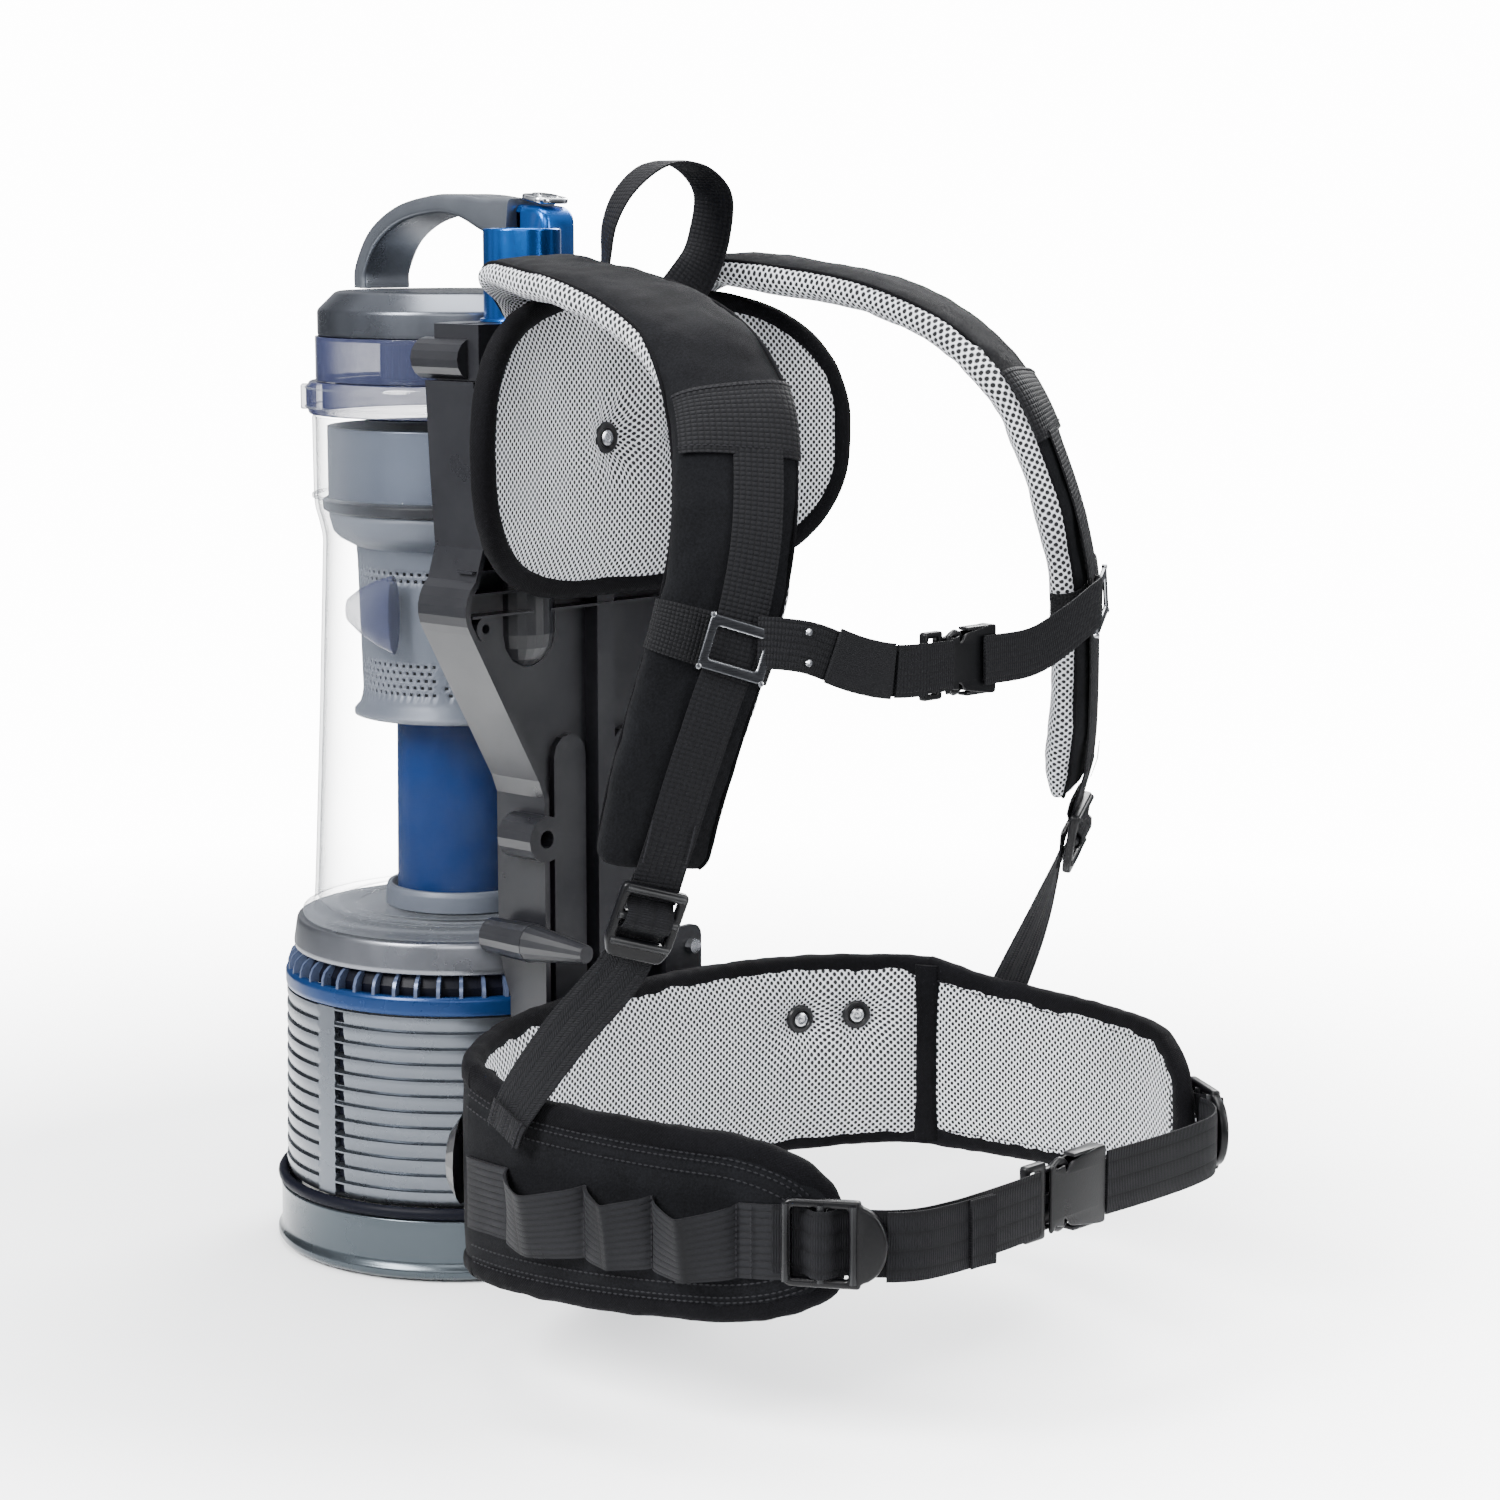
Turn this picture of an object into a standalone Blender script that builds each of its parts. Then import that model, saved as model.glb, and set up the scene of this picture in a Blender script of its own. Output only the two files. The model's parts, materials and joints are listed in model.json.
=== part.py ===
"""Backpack vacuum cleaner: a cyclonic canister on a back frame with a padded harness.

Metres, +Z up. The origin is the centre of the canister's base on the floor, the canister's axis
is Z, and the wearer stands on the -Y side, facing -Y. "right" and "left" are the wearer's:
right is -X.
"""
import math

import bmesh
import bpy
from mathutils import Matrix, Vector

# ---------------------------------------------------------------- driving dimensions
GAP = 0.0004                # running gap between neighbouring pieces
SEGMENTS = 32               # sides of the canister's round pieces
FINE = 16                   # sides of small round pieces

BASE_RADIUS = 0.1108        # base tray at the floor
BASE_TOP = 0.0405           # top of the tray's wall
HOUSING_TOP = 0.150         # top of the ribbed motor housing
VENT_TOP = 0.172            # top of the blue vent ring
COLLAR_TOP = 0.190          # where the dust bin sits down
BIN_TOP = 0.4785            # upper end of the clear bin
LOCK_TOP = 0.4975           # upper end of the lock ring
WINDOW_TOP = 0.5225         # upper end of the clear window
LID_TOP = 0.548             # flat top of the lid
HANDLE_TOP = 0.5965         # centre line of the handle's grip

BIN_LOWER = 0.0859          # bin radius low down
BIN_UPPER = 0.0775          # bin radius under its shoulder
BIN_BAND = 0.0823           # radius of the bin's upper band
BIN_WALL = 0.0020

TUBE_X = -0.0430            # inlet tube: off centre, towards the wearer's right
TUBE_Y = -0.1010
TUBE_RADIUS = 0.0210
TUBE_WALL = 0.0020
TUBE_TOP = 0.583

FRAME_FRONT = -0.122        # wearer's side of the frame's rim
FRAME_WEB = -0.1095         # wearer's side of the frame's web
FRAME_REAR = -0.084         # canister side of the frame's walls
FRAME_WALL = 0.0035
COLUMN_HALF = 0.050         # half width of the column
FRAME_BOTTOM = 0.055
FRAME_TOP = 0.5035

PAD_HALF = 0.140            # back pad: half width
PAD_LOW = 0.390
PAD_HIGH = 0.547
PAD_THICK = 0.018

BELT_LOW = 0.056            # hip belt at its corner
BELT_HIGH = 0.162
BELT_THICK = 0.010
BELT_CORNER = 0.1765        # where the lumbar pad ends and the wings begin
STRAP_HALF = 0.0315         # shoulder strap: half width
STRAP_THICK = 0.020
WEB_THICK = 0.0018          # all webbing
SHOULDER_WEB = 0.025        # width of the webbing along the shoulder straps
NARROW_WEB = 0.025          # lower straps and sternum strap
WAIST_WEB = 0.033           # waist webbing

RIVET_SPOTS = ((0.1144, -0.1578), (0.1460, -0.1741))        # belt rivets on the +X side, plan
RIVET_NORMALS = ((-0.320, -0.947), (-0.545, -0.838))
RIVET_HEIGHT = 0.1320

LOOP_TACKS = (0.0360, 0.0890, 0.1290, 0.1740)   # where the elastic is sewn to the wing
LOOP_SWELL = 0.0160         # how far a tool loop stands off the wing
LOOP_BAND = 0.0370          # width of the elastic
WAIST_HEIGHT = 0.1100       # height of the waist strap's middle
CHEST_HEIGHT = 0.3690       # height of the chest buckle
GLIDE_HEIGHT = 0.3885       # height of the tri-glides on the shoulder straps

SIDES = {"right": -1, "left": 1}


# ---------------------------------------------------------------- materials
def material(name, colour, rough, metal=0.0, alpha=1.0):
    """A Principled material."""
    made = bpy.data.materials.new(name)
    made.use_nodes = True
    shader = made.node_tree.nodes["Principled BSDF"]
    shader.inputs["Base Color"].default_value = (*colour, 1)
    shader.inputs["Roughness"].default_value = rough
    shader.inputs["Metallic"].default_value = metal
    shader.inputs["Alpha"].default_value = alpha
    made.diffuse_color = (*colour, alpha)
    return made


def make_materials():
    """The object's finishes by name."""
    return {
        "tray": material("tray", (0.055, 0.070, 0.078), 0.35),
        "housing": material("housing", (0.095, 0.105, 0.115), 0.38, 0.3),
        "frame": material("frame", (0.045, 0.045, 0.052), 0.32),
        "lid": material("lid", (0.105, 0.120, 0.130), 0.30, 0.4),
        "grey": material("grey", (0.19, 0.22, 0.26), 0.40),
        "blue": material("blue", (0.010, 0.060, 0.220), 0.25, 0.3),
        "clear": material("clear", (0.86, 0.89, 0.93), 0.05, 0.0, 0.3),
        "tint": material("tint", (0.55, 0.56, 0.78), 0.08, 0.0, 0.5),
        "seal": material("seal", (0.02, 0.02, 0.025), 0.6),
        "silver": material("silver", (0.62, 0.64, 0.68), 0.22, 0.9),
        "steel": material("steel", (0.42, 0.42, 0.44), 0.35, 1.0),
        "filter": material("filter", (0.80, 0.80, 0.76), 0.9),
        "mesh": material("mesh", (0.55, 0.56, 0.60), 0.9),
        "fabric": material("fabric", (0.015, 0.015, 0.018), 0.85),
        "webbing": material("webbing", (0.012, 0.012, 0.014), 0.75),
        "buckle": material("buckle", (0.014, 0.014, 0.016), 0.35),
        "impeller": material("impeller", (0.35, 0.36, 0.38), 0.4, 0.8),
    }


# ---------------------------------------------------------------- modelling helpers
def finish(name, bm, finish_material, crease=35):
    """Turn a bmesh into one named object with clean outward faces."""
    bmesh.ops.remove_doubles(bm, verts=bm.verts, dist=0.000002)
    bmesh.ops.recalc_face_normals(bm, faces=bm.faces)
    mesh = bpy.data.meshes.new(name)
    bm.to_mesh(mesh)
    bm.free()
    mesh.materials.append(finish_material)
    mesh.shade_smooth()
    mesh.set_sharp_from_angle(angle=math.radians(crease))
    made = bpy.data.objects.new(name, mesh)
    bpy.context.scene.collection.objects.link(made)
    return made


def lathe(name, profile, finish_material, segments=SEGMENTS, centre=(0, 0)):
    """Turn a closed outline of (radius, height) points about a vertical axis."""
    bm = bmesh.new()
    points = [bm.verts.new((centre[0] + r, centre[1], z)) for r, z in profile]
    edges = []
    for here, there in zip(profile, profile[1:] + profile[:1]):
        if here[0] > 0 or there[0] > 0:
            pair = (points[profile.index(here)], points[profile.index(there)])
            edges.append(bm.edges.new(pair))
    bmesh.ops.spin(bm, geom=points + edges, cent=(*centre, 0), axis=(0, 0, 1), dvec=(0, 0, 0),
                   angle=2 * math.pi, steps=segments, use_merge=True)
    return finish(name, bm, finish_material)


def loft(name, rings, finish_material, loop=False, crease=35):
    """Skin rings of equal length; the ends are capped unless the loft closes on itself."""
    bm = bmesh.new()
    rows = [[bm.verts.new(p) for p in ring] for ring in rings]
    count = len(rings[0])
    pairs = list(zip(rows, rows[1:] + rows[:1])) if loop else list(zip(rows, rows[1:]))
    for low, high in pairs:
        for i in range(count):
            j = (i + 1) % count
            bm.faces.new((low[i], low[j], high[j], high[i]))
    if not loop:
        bm.faces.new(rows[0])
        bm.faces.new(list(reversed(rows[-1])))
    return finish(name, bm, finish_material, crease)


def prism(name, outline, plane, low, high, finish_material):
    """Extrude a closed 2-D outline along the axis that its plane leaves out."""
    place = {"xy": lambda a, b, c: (a, b, c),
             "xz": lambda a, b, c: (a, c, b),
             "yz": lambda a, b, c: (c, a, b)}[plane]
    rings = [[place(a, b, c) for a, b in outline] for c in (low, high)]
    return loft(name, rings, finish_material)


def box(name, low, high, finish_material, matrix=None):
    """A plain block between two corners, optionally placed by a matrix."""
    bm = bmesh.new()
    bmesh.ops.create_cube(bm, size=1)
    for vert in bm.verts:
        for axis in range(3):
            vert.co[axis] = low[axis] if vert.co[axis] < 0 else high[axis]
    if matrix is not None:
        bmesh.ops.transform(bm, matrix=matrix, verts=bm.verts)
    return finish(name, bm, finish_material)


def rod(name, start, end, radii, finish_material, segments=FINE):
    """A round bar from start to end with a radius at each end."""
    start, end = Vector(start), Vector(end)
    turn = (end - start).to_track_quat("Z", "Y").to_matrix()
    rings = []
    for point, radius in ((start, radii[0]), (end, radii[1])):
        ring = []
        for i in range(segments):
            angle = 2 * math.pi * i / segments
            ring.append(point + turn @ Vector((radius * math.cos(angle), radius * math.sin(angle), 0)))
        rings.append(ring)
    return loft(name, rings, finish_material)


def grid_plate(name, xs, zs, solid, thickness, finish_material, matrix):
    """A plate made of the solid cells of a grid, so that it can have slots and prongs."""
    bm = bmesh.new()
    half = thickness / 2
    corner = {}

    def vert(i, j, side):
        key = (i, j, side)
        if key not in corner:
            corner[key] = bm.verts.new((xs[i], half * side, zs[j]))
        return corner[key]

    for i, j in solid:
        around = (i, j), (i + 1, j), (i + 1, j + 1), (i, j + 1)
        bm.faces.new([vert(a, b, -1) for a, b in around])
        bm.faces.new([vert(a, b, 1) for a, b in reversed(around)])
        for (a, b), (c, d), beside in zip(around, around[1:] + around[:1],
                                          ((i, j - 1), (i + 1, j), (i, j + 1), (i - 1, j))):
            if beside not in solid:
                bm.faces.new((vert(a, b, -1), vert(a, b, 1), vert(c, d, 1), vert(c, d, -1)))
    bmesh.ops.transform(bm, matrix=matrix, verts=bm.verts)
    return finish(name, bm, finish_material)


def boolean(target, tool, operation):
    """Leave an exact Boolean on the target; the tool becomes a hidden guide."""
    tool.hide_render = True
    tool.display_type = "WIRE"
    modifier = target.modifiers.new(tool.name, "BOOLEAN")
    modifier.object = tool
    modifier.operation = operation
    modifier.solver = "EXACT"


def cut(target, *tools):
    """Take each tool out of the target."""
    for tool in tools:
        boolean(target, tool, "DIFFERENCE")


def join(target, *tools):
    """Add each overlapping tool to the target as one body."""
    for tool in tools:
        boolean(target, tool, "UNION")


def arc(centre, radius, start, end, steps):
    """Points on a circle from one angle to another, in degrees."""
    angles = [math.radians(start + (end - start) * i / steps) for i in range(steps + 1)]
    return [(centre[0] + radius * math.cos(a), centre[1] + radius * math.sin(a)) for a in angles]


def smooth_path(points, steps):
    """A Catmull-Rom curve through points of any dimension, with steps pieces per span."""
    path = [Vector(p) for p in points]
    path = [2 * path[0] - path[1]] + path + [2 * path[-1] - path[-2]]
    made = []
    for a, b, c, d in zip(path, path[1:], path[2:], path[3:]):
        for i in range(steps):
            t = i / steps
            made.append(0.5 * (2 * b + (c - a) * t + (2 * a - 5 * b + 4 * c - d) * t ** 2
                               + (3 * b - a - 3 * c + d) * t ** 3))
    made.append(path[-2])
    return made


def ribbon(name, path, across, width, thickness, finish_material):
    """A flat band along a path; across gives its width direction at each point."""
    rings = []
    for i, point in enumerate(path):
        ahead = path[min(i + 1, len(path) - 1)] - path[max(i - 1, 0)]
        side = across[i] if isinstance(across, list) else Vector(across)
        side = (side - ahead.normalized() * side.dot(ahead.normalized())).normalized()
        normal = ahead.cross(side).normalized() * thickness / 2
        reach = side * width / 2
        rings.append([point - reach - normal, point + reach - normal,
                      point + reach + normal, point - reach + normal])
    return loft(name, rings, finish_material)


def flip(points, side):
    """Mirror points across the middle plane for the wearer's right side."""
    return [Vector((p[0] * side, *p[1:])) for p in points]


# ---------------------------------------------------------------- canister
def make_base(mats):
    """Base tray: floor, wall and rolled rim."""
    wall = 0.003
    profile = [(0, 0), (BASE_RADIUS - 0.002, 0), (BASE_RADIUS, 0.002), (0.1094, 0.035),
               (0.1102, 0.0375), (0.1094, BASE_TOP), (0.1094 - wall, BASE_TOP),
               (0.1094 - wall, 0.005), (0, 0.005)]
    return lathe("base_tray", profile, mats["tray"])


def make_housing(mats):
    """Motor housing, vent ring and the collar that carries the bin."""
    low = BASE_TOP + GAP
    lathe("motor_housing", [(0.1046, low), (0.1025, HOUSING_TOP), (0.0990, HOUSING_TOP),
                            (0.1010, low)], mats["housing"])
    lathe("vent_ring", [(0.1032, HOUSING_TOP + GAP), (0.1032, 0.1600), (0.0975, VENT_TOP),
                        (0.0935, VENT_TOP), (0.0985, 0.1585), (0.0985, HOUSING_TOP + GAP)],
          mats["blue"])
    lathe("cup_collar", [(0.0975, VENT_TOP + GAP), (0.0942, COLLAR_TOP), (0.030, COLLAR_TOP),
                         (0.030, COLLAR_TOP - 0.004), (0.0885, COLLAR_TOP - 0.004),
                         (0.0915, VENT_TOP + GAP)], mats["housing"])


def make_motor(mats):
    """Motor can, shaft, impeller and the exhaust filter around them."""
    floor = 0.005 + GAP
    can_top, can_radius, bore = 0.092, 0.038, 0.0060
    lathe("motor_casing", [(bore, floor), (can_radius, floor), (can_radius, can_top),
                           (bore, can_top)], mats["steel"], 32)
    shaft_radius = bore - 0.0001
    lathe("motor_shaft", [(0, 0.010), (shaft_radius, 0.010), (shaft_radius, 0.150), (0, 0.150)],
          mats["steel"], 32)
    hub, reach, low, high = shaft_radius + GAP, 0.052, 0.110, 0.128
    wheel = [(hub, low), (reach, low), (reach, low + 0.004), (0.030, low + 0.006), (0.014, high),
             (hub, high)]
    impeller = lathe("impeller", wheel, mats["impeller"], 32)
    for i in range(8):
        turn = Matrix.Rotation(2 * math.pi * i / 8, 4, "Z")
        vane = box("vane_%d" % i, (0.012, -0.0012, low + 0.001), (reach - 0.003, 0.0012, high),
                   mats["impeller"], turn)
        join(impeller, vane)
    lathe("exhaust_filter", [(0.084, floor), (0.097, floor), (0.097, 0.140), (0.084, 0.140)],
          mats["filter"])


def make_bin(mats):
    """Clear dust bin: a flanged wall, the door that closes its bottom, and the inlet's nozzle."""
    low = COLLAR_TOP + GAP
    mouth = 0.0840
    outer = [(0.0925, low), (0.0925, 0.1945), (0.0872, 0.1965), (BIN_LOWER, 0.201),
             (BIN_UPPER, 0.407), (0.0800, 0.421), (BIN_BAND, 0.4325), (BIN_BAND, BIN_TOP)]
    inner = [(r - BIN_WALL, z) for r, z in reversed(outer[3:])]
    dust_bin = lathe("dust_bin", [(mouth, low)] + outer + inner, mats["clear"])
    edge = mouth - GAP
    lathe("bin_door", [(0, low), (edge, low), (edge, 0.1955), (0.0455, 0.1960), (0.0440, 0.206),
                       (0.0410, 0.206), (0.0410, 0.1955), (0, 0.1955)], mats["clear"])
    port = rod("bin_port", (-0.0690, -0.070, 0.370), (-0.0690, -0.030, 0.370), (0.0060, 0.0060),
               mats["clear"])
    cut(dust_bin, port)
    nozzle = []
    centre, height = -0.0675, 0.370
    for y, half_width, half_height in ((-0.0200, 0.0043, 0.0220), (0.0180, 0.0034, 0.0110)):
        ring = []
        for i in range(16):
            angle = 2 * math.pi * i / 16
            ring.append((centre + half_width * math.cos(angle), y,
                         height + half_height * math.sin(angle)))
        nozzle.append(ring)
    inner_ring = [[(centre + (p[0] - centre) * 0.6, p[1], height + (p[2] - height) * 0.85)
                   for p in ring] for ring in nozzle]
    loft("inlet_nozzle", nozzle + inner_ring[::-1], mats["clear"], loop=True)


def make_head(mats):
    """What lifts out of the bin: cyclone, shroud, tube, seal, window, lock ring and lid."""
    lathe("centre_tube", [(0.0378, 0.1985), (0.0368, 0.3065), (0.0343, 0.3065), (0.0353, 0.1985)],
          mats["blue"], 40)
    lathe("cyclone_shroud", [(0.0600, 0.3075), (0.0557, 0.320), (0.0585, 0.404), (0.0715, 0.4125),
                             (0.0735, 0.421), (0.0741, 0.430), (0.0741, 0.4700),
                             (0.0700, 0.4700), (0.0700, 0.4150), (0.0560, 0.4065),
                             (0.0532, 0.320), (0.0340, 0.3110), (0.0340, 0.3075)],
          mats["grey"])
    lathe("head_seal", [(0.0752, 0.4230), (0.0772, 0.4230), (0.0778, 0.4300), (0.0746, 0.4300),
                        (0.0746, 0.4240)], mats["seal"])
    low = BIN_TOP + GAP
    ring = lathe("lock_ring", [(0.0835, low), (0.0856, 0.4820), (0.0856, 0.4950),
                               (0.0835, LOCK_TOP), (0.0700, LOCK_TOP), (0.0700, 0.4710),
                               (0.0760, 0.4710), (0.0760, low)], mats["tint"])
    tab = box("lock_tab", (-0.0060, 0.080, 0.4815), (0.0060, 0.0885, 0.4955), mats["tint"],
              Matrix.Rotation(math.radians(48), 4, "Z"))
    join(ring, tab)
    lathe("head_window", [(0.0800, LOCK_TOP + GAP), (0.0800, WINDOW_TOP), (0.0778, WINDOW_TOP),
                          (0.0778, LOCK_TOP + GAP)], mats["clear"])
    fins = []
    for i in range(24):
        for step, radius in ((0, 0.042), (0.3, 0.047), (0.7, 0.047)):
            angle = 2 * math.pi * (i + step) / 24
            fins.append((radius * math.cos(angle), radius * math.sin(angle)))
    prism("cyclone_fins", fins, "xy", LOCK_TOP + GAP, WINDOW_TOP - GAP, mats["blue"])
    skin = 0.0030
    lathe("lid", [(0.0786 - skin, WINDOW_TOP + GAP), (0.0786, WINDOW_TOP + GAP), (0.0784, 0.537),
                  (0.0676, LID_TOP), (0, LID_TOP), (0, LID_TOP - skin), (0.0660, LID_TOP - skin),
                  (0.0784 - skin, 0.5360)], mats["lid"])


def make_handle(mats):
    """Arched carrying handle in the middle plane, with the latch post at its front end."""
    spine = smooth_path([(0.0600, LID_TOP + GAP, 0.0045), (0.0590, 0.5620, 0.0045),
                         (0.0480, 0.5800, 0.0045), (0.0270, 0.5920, 0.0045),
                         (0.0000, HANDLE_TOP, 0.0048), (-0.0230, 0.5955, 0.0060),
                         (-0.0420, 0.5900, 0.0095), (-0.0605, 0.5872, 0.0116)], 2)
    half, edge = 0.0180, 0.0022
    rings = []
    for i, (y, z, thick) in enumerate(spine):
        ahead = spine[min(i + 1, len(spine) - 1)] - spine[max(i - 1, 0)]
        up = Vector((0, -ahead[1], ahead[0])).normalized() if i else Vector((0, -1, 0))
        point = Vector((0, y, z))
        section = [(half - edge, -thick), (half, edge - thick), (half, thick - edge),
                   (half - edge, thick), (edge - half, thick), (-half, thick - edge),
                   (-half, edge - thick), (edge - half, -thick)]
        rings.append([point + Vector((a, 0, 0)) + up * b for a, b in section])
    loft("handle", rings, mats["lid"])
    low = LID_TOP + GAP
    post = [(-0.0625, low), (-0.0865, low), (-0.0865, 0.5870), (-0.0845, 0.5915),
            (-0.0800, 0.5935), (-0.0625, 0.5935)]
    latch_post = prism("latch_post", post, "yz", -0.0120, 0.0120, mats["blue"])
    well = box("post_well", (-0.0085, -0.0790, 0.5800), (0.0085, -0.0680, 0.6000), mats["blue"])
    cut(latch_post, well)
    button = box("latch_button", (-0.0115, -0.0835, 0.5985), (0.0115, -0.0640, 0.6020),
                 mats["silver"])
    stem = box("button_stem", (-0.0075, -0.0780, 0.5870), (0.0075, -0.0690, 0.5990), mats["silver"])
    join(button, stem)


# ---------------------------------------------------------------- frame
def frame_outline(inset):
    """Half outline of the back frame, (x, z) from the bottom up, moved in by inset."""
    half = COLUMN_HALF - inset
    lobe = arc((0.0850, 0.3820), 0.0210 - inset, -35, 50, 6)
    points = [(half, FRAME_BOTTOM + inset), (half, 0.2760), (half + 0.004, 0.2860)]
    points += lobe
    points += [(0.0930 - inset, 0.4150), (0.0960 - inset, 0.4550), (0.0985 - inset, FRAME_TOP - inset)]
    return points


def full_outline(inset):
    """The closed symmetric outline."""
    half = frame_outline(inset)
    return half + [(-x, z) for x, z in reversed(half)]


def make_frame(mats):
    """Back frame: a dished moulding with a web, a rim wall, a centre bar, ribs, bosses and a peg."""
    frame = prism("back_frame", full_outline(0), "xz", FRAME_FRONT, FRAME_REAR, mats["frame"])
    front = prism("front_dish", full_outline(FRAME_WALL), "xz", FRAME_FRONT - 0.01, FRAME_WEB,
                  mats["frame"])
    rear = prism("rear_dish", full_outline(FRAME_WALL), "xz", FRAME_WEB + 0.003, FRAME_REAR + 0.01,
                 mats["frame"])
    canister = lathe("canister_room", [(0, 0.03), (0.1080, 0.03), (0.1062, HOUSING_TOP),
                                       (0.1062, 0.162), (0.1010, 0.176), (0.0960, 0.200),
                                       (0.0930, 0.54), (0, 0.54)], mats["frame"])
    cut(frame, front, rear)
    bar = box("centre_bar", (-0.0065, FRAME_FRONT + 0.0025, FRAME_BOTTOM + 0.001),
              (0.0065, FRAME_WEB + 0.001, FRAME_TOP - 0.001), mats["frame"])
    ribs = []
    for i, z in enumerate((0.3790, 0.3910, 0.4030)):
        ribs.append(box("rib_%d" % i, (-0.1000, FRAME_FRONT + 0.0010, z - 0.0007),
                        (0.0980, FRAME_WEB + 0.001, z + 0.0007), mats["frame"]))
    arch = [(0.0105, 0.0600)] + arc((0.0225, 0.2960), 0.0120, 180, 0, 6)[0:7] + [(0.0345, 0.0600)]
    panels = []
    for side in (-1, 1):
        outline = [(x * side, z) for x, z in arch]
        panels.append(prism("arch_panel_%d" % (side + 1), outline, "xz", FRAME_WEB - 0.0040,
                            FRAME_WEB + 0.001, mats["frame"]))
    bosses = []
    for side in (-1, 1):
        bosses.append(rod("column_boss_%d" % (side + 1), (side * 0.0530, -0.1270, 0.2545),
                          (side * 0.0530, -0.1010, 0.2545), (0.0128, 0.0128), mats["frame"]))
        bosses.append(rod("lobe_boss_%d" % (side + 1), (side * 0.0880, -0.1180, 0.3720),
                          (side * 0.0880, FRAME_WEB + 0.001, 0.3720), (0.0065, 0.0065),
                          mats["frame"]))
    peg = rod("peg_body", (-0.0605, -0.0900, 0.1975), (-0.0605, -0.1230, 0.1975),
              (0.0100, 0.0108), mats["frame"])
    peg_tip = rod("peg_tip", (-0.0605, -0.1225, 0.1975), (-0.0605, -0.1650, 0.1975),
                  (0.0106, 0.0050), mats["frame"])
    join(frame, bar, *ribs, *panels, *bosses, peg, peg_tip)
    screw_holes = []
    for side in (-1, 1):
        screw_holes.append(rod("boss_hole_%d" % (side + 1), (side * 0.0530, -0.1300, 0.2545),
                               (side * 0.0530, -0.1170, 0.2545), (0.0050, 0.0050), mats["frame"], 12))
        screw_holes.append(rod("lobe_hole_%d" % (side + 1), (side * 0.0880, -0.1200, 0.3720),
                               (side * 0.0880, -0.1120, 0.3720), (0.0026, 0.0026), mats["frame"], 12))
    room = make_duct_solid("duct_room", mats, 0.0006, 0)
    cut(frame, canister, room, *screw_holes)


def make_duct_solid(name, mats, grow, hollow):
    """The inlet duct's round-ended body, grown by grow; hollow is its wall, or 0 for solid."""
    radius = 0.0195 + grow
    low, high = 0.3660, FRAME_TOP + grow
    profile = [(0, low - radius), *arc((0, low), radius, -67.5, 0, 3), (radius, high)]
    if hollow:
        inner = radius - hollow
        profile += [(inner, high), *arc((0, low), inner, 0, -67.5, 3), (0, low - inner)]
    else:
        profile.append((0, high))
    return lathe(name, profile, mats["frame"], 24, (TUBE_X - 0.006, TUBE_Y - 0.001))


def make_inlet(mats):
    """Inlet tube, the top bracket it stands in, and the duct that leads to the bin."""
    centre = (TUBE_X, TUBE_Y)
    bore = TUBE_RADIUS - TUBE_WALL
    low = FRAME_TOP + 0.0012
    lathe("inlet_tube", [(bore, low), (TUBE_RADIUS, low), (TUBE_RADIUS, TUBE_TOP - 0.001),
                         (TUBE_RADIUS - 0.0006, TUBE_TOP), (bore, TUBE_TOP)], mats["blue"], 40, centre)
    duct = make_duct_solid("inlet_duct", mats, 0, 0.0022)
    branch = rod("duct_branch", (-0.0620, -0.0990, 0.3700), (-0.0700, -0.0560, 0.3700),
                 (0.0090, 0.0090), mats["frame"], 16)
    branch_bore = rod("branch_bore", (-0.0600, -0.1020, 0.3700), (-0.0710, -0.0500, 0.3700),
                      (0.0068, 0.0068), mats["frame"], 16)
    bin_room = lathe("bin_room", [(0, 0.34), (0.0868, 0.34), (0.0868, 0.41), (0, 0.41)],
                     mats["frame"])
    join(duct, branch)
    cut(duct, branch_bore, bin_room)

    top, bottom = 0.5335, FRAME_TOP + GAP
    bracket = prism("top_bracket", [(-0.0940, -0.1215), (-0.0700, -0.1245), (0.0700, -0.1245),
                                    (0.0940, -0.1215), (0.0940, -0.0868), (0.0700, -0.0745),
                                    (-0.0700, -0.0745), (-0.0940, -0.0868)],
                    "xy", bottom, top, mats["frame"])
    head_room = lathe("head_room", [(0, bottom - 0.01), (0.0868, bottom - 0.01), (0.0868, top + 0.01),
                                    (0, top + 0.01)], mats["frame"])
    seat = rod("tube_seat", (*centre, bottom - 0.01), (*centre, top + 0.01),
               (TUBE_RADIUS + 0.0003, TUBE_RADIUS + 0.0003), mats["frame"], 40)
    barrels = []
    for side in (-1, 1):
        barrels.append(rod("barrel_%d" % (side + 1), (side * 0.0905, -0.1130, 0.5150),
                           (side * 0.0905, -0.0760, 0.5150), (0.0112, 0.0112), mats["frame"]))
    slot = box("plate_slot", (-0.0880, -0.1080, 0.5230), (-0.0700, -0.0960, 0.5400), mats["frame"])
    join(bracket, *barrels)
    cut(bracket, seat, slot, head_room)


def make_side_bracket(mats):
    """Flat bracket with rounded corners and a bolt, on the wearer's left of the column."""
    outline = [(0.0400, 0.0900), (0.0690, 0.0900)]
    outline += arc((0.0620, 0.1830), 0.0070, 0, 90, 4)
    outline += [(0.0400, 0.1900)]
    prism("side_bracket", outline, "xz", FRAME_FRONT - 0.0035, FRAME_FRONT - GAP, mats["frame"])
    head = FRAME_FRONT - 0.0035 - GAP
    rod("bracket_bolt", (0.0600, head, 0.1780), (0.0600, head - 0.0040, 0.1780), (0.0050, 0.0042),
        mats["silver"], 12)


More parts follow.
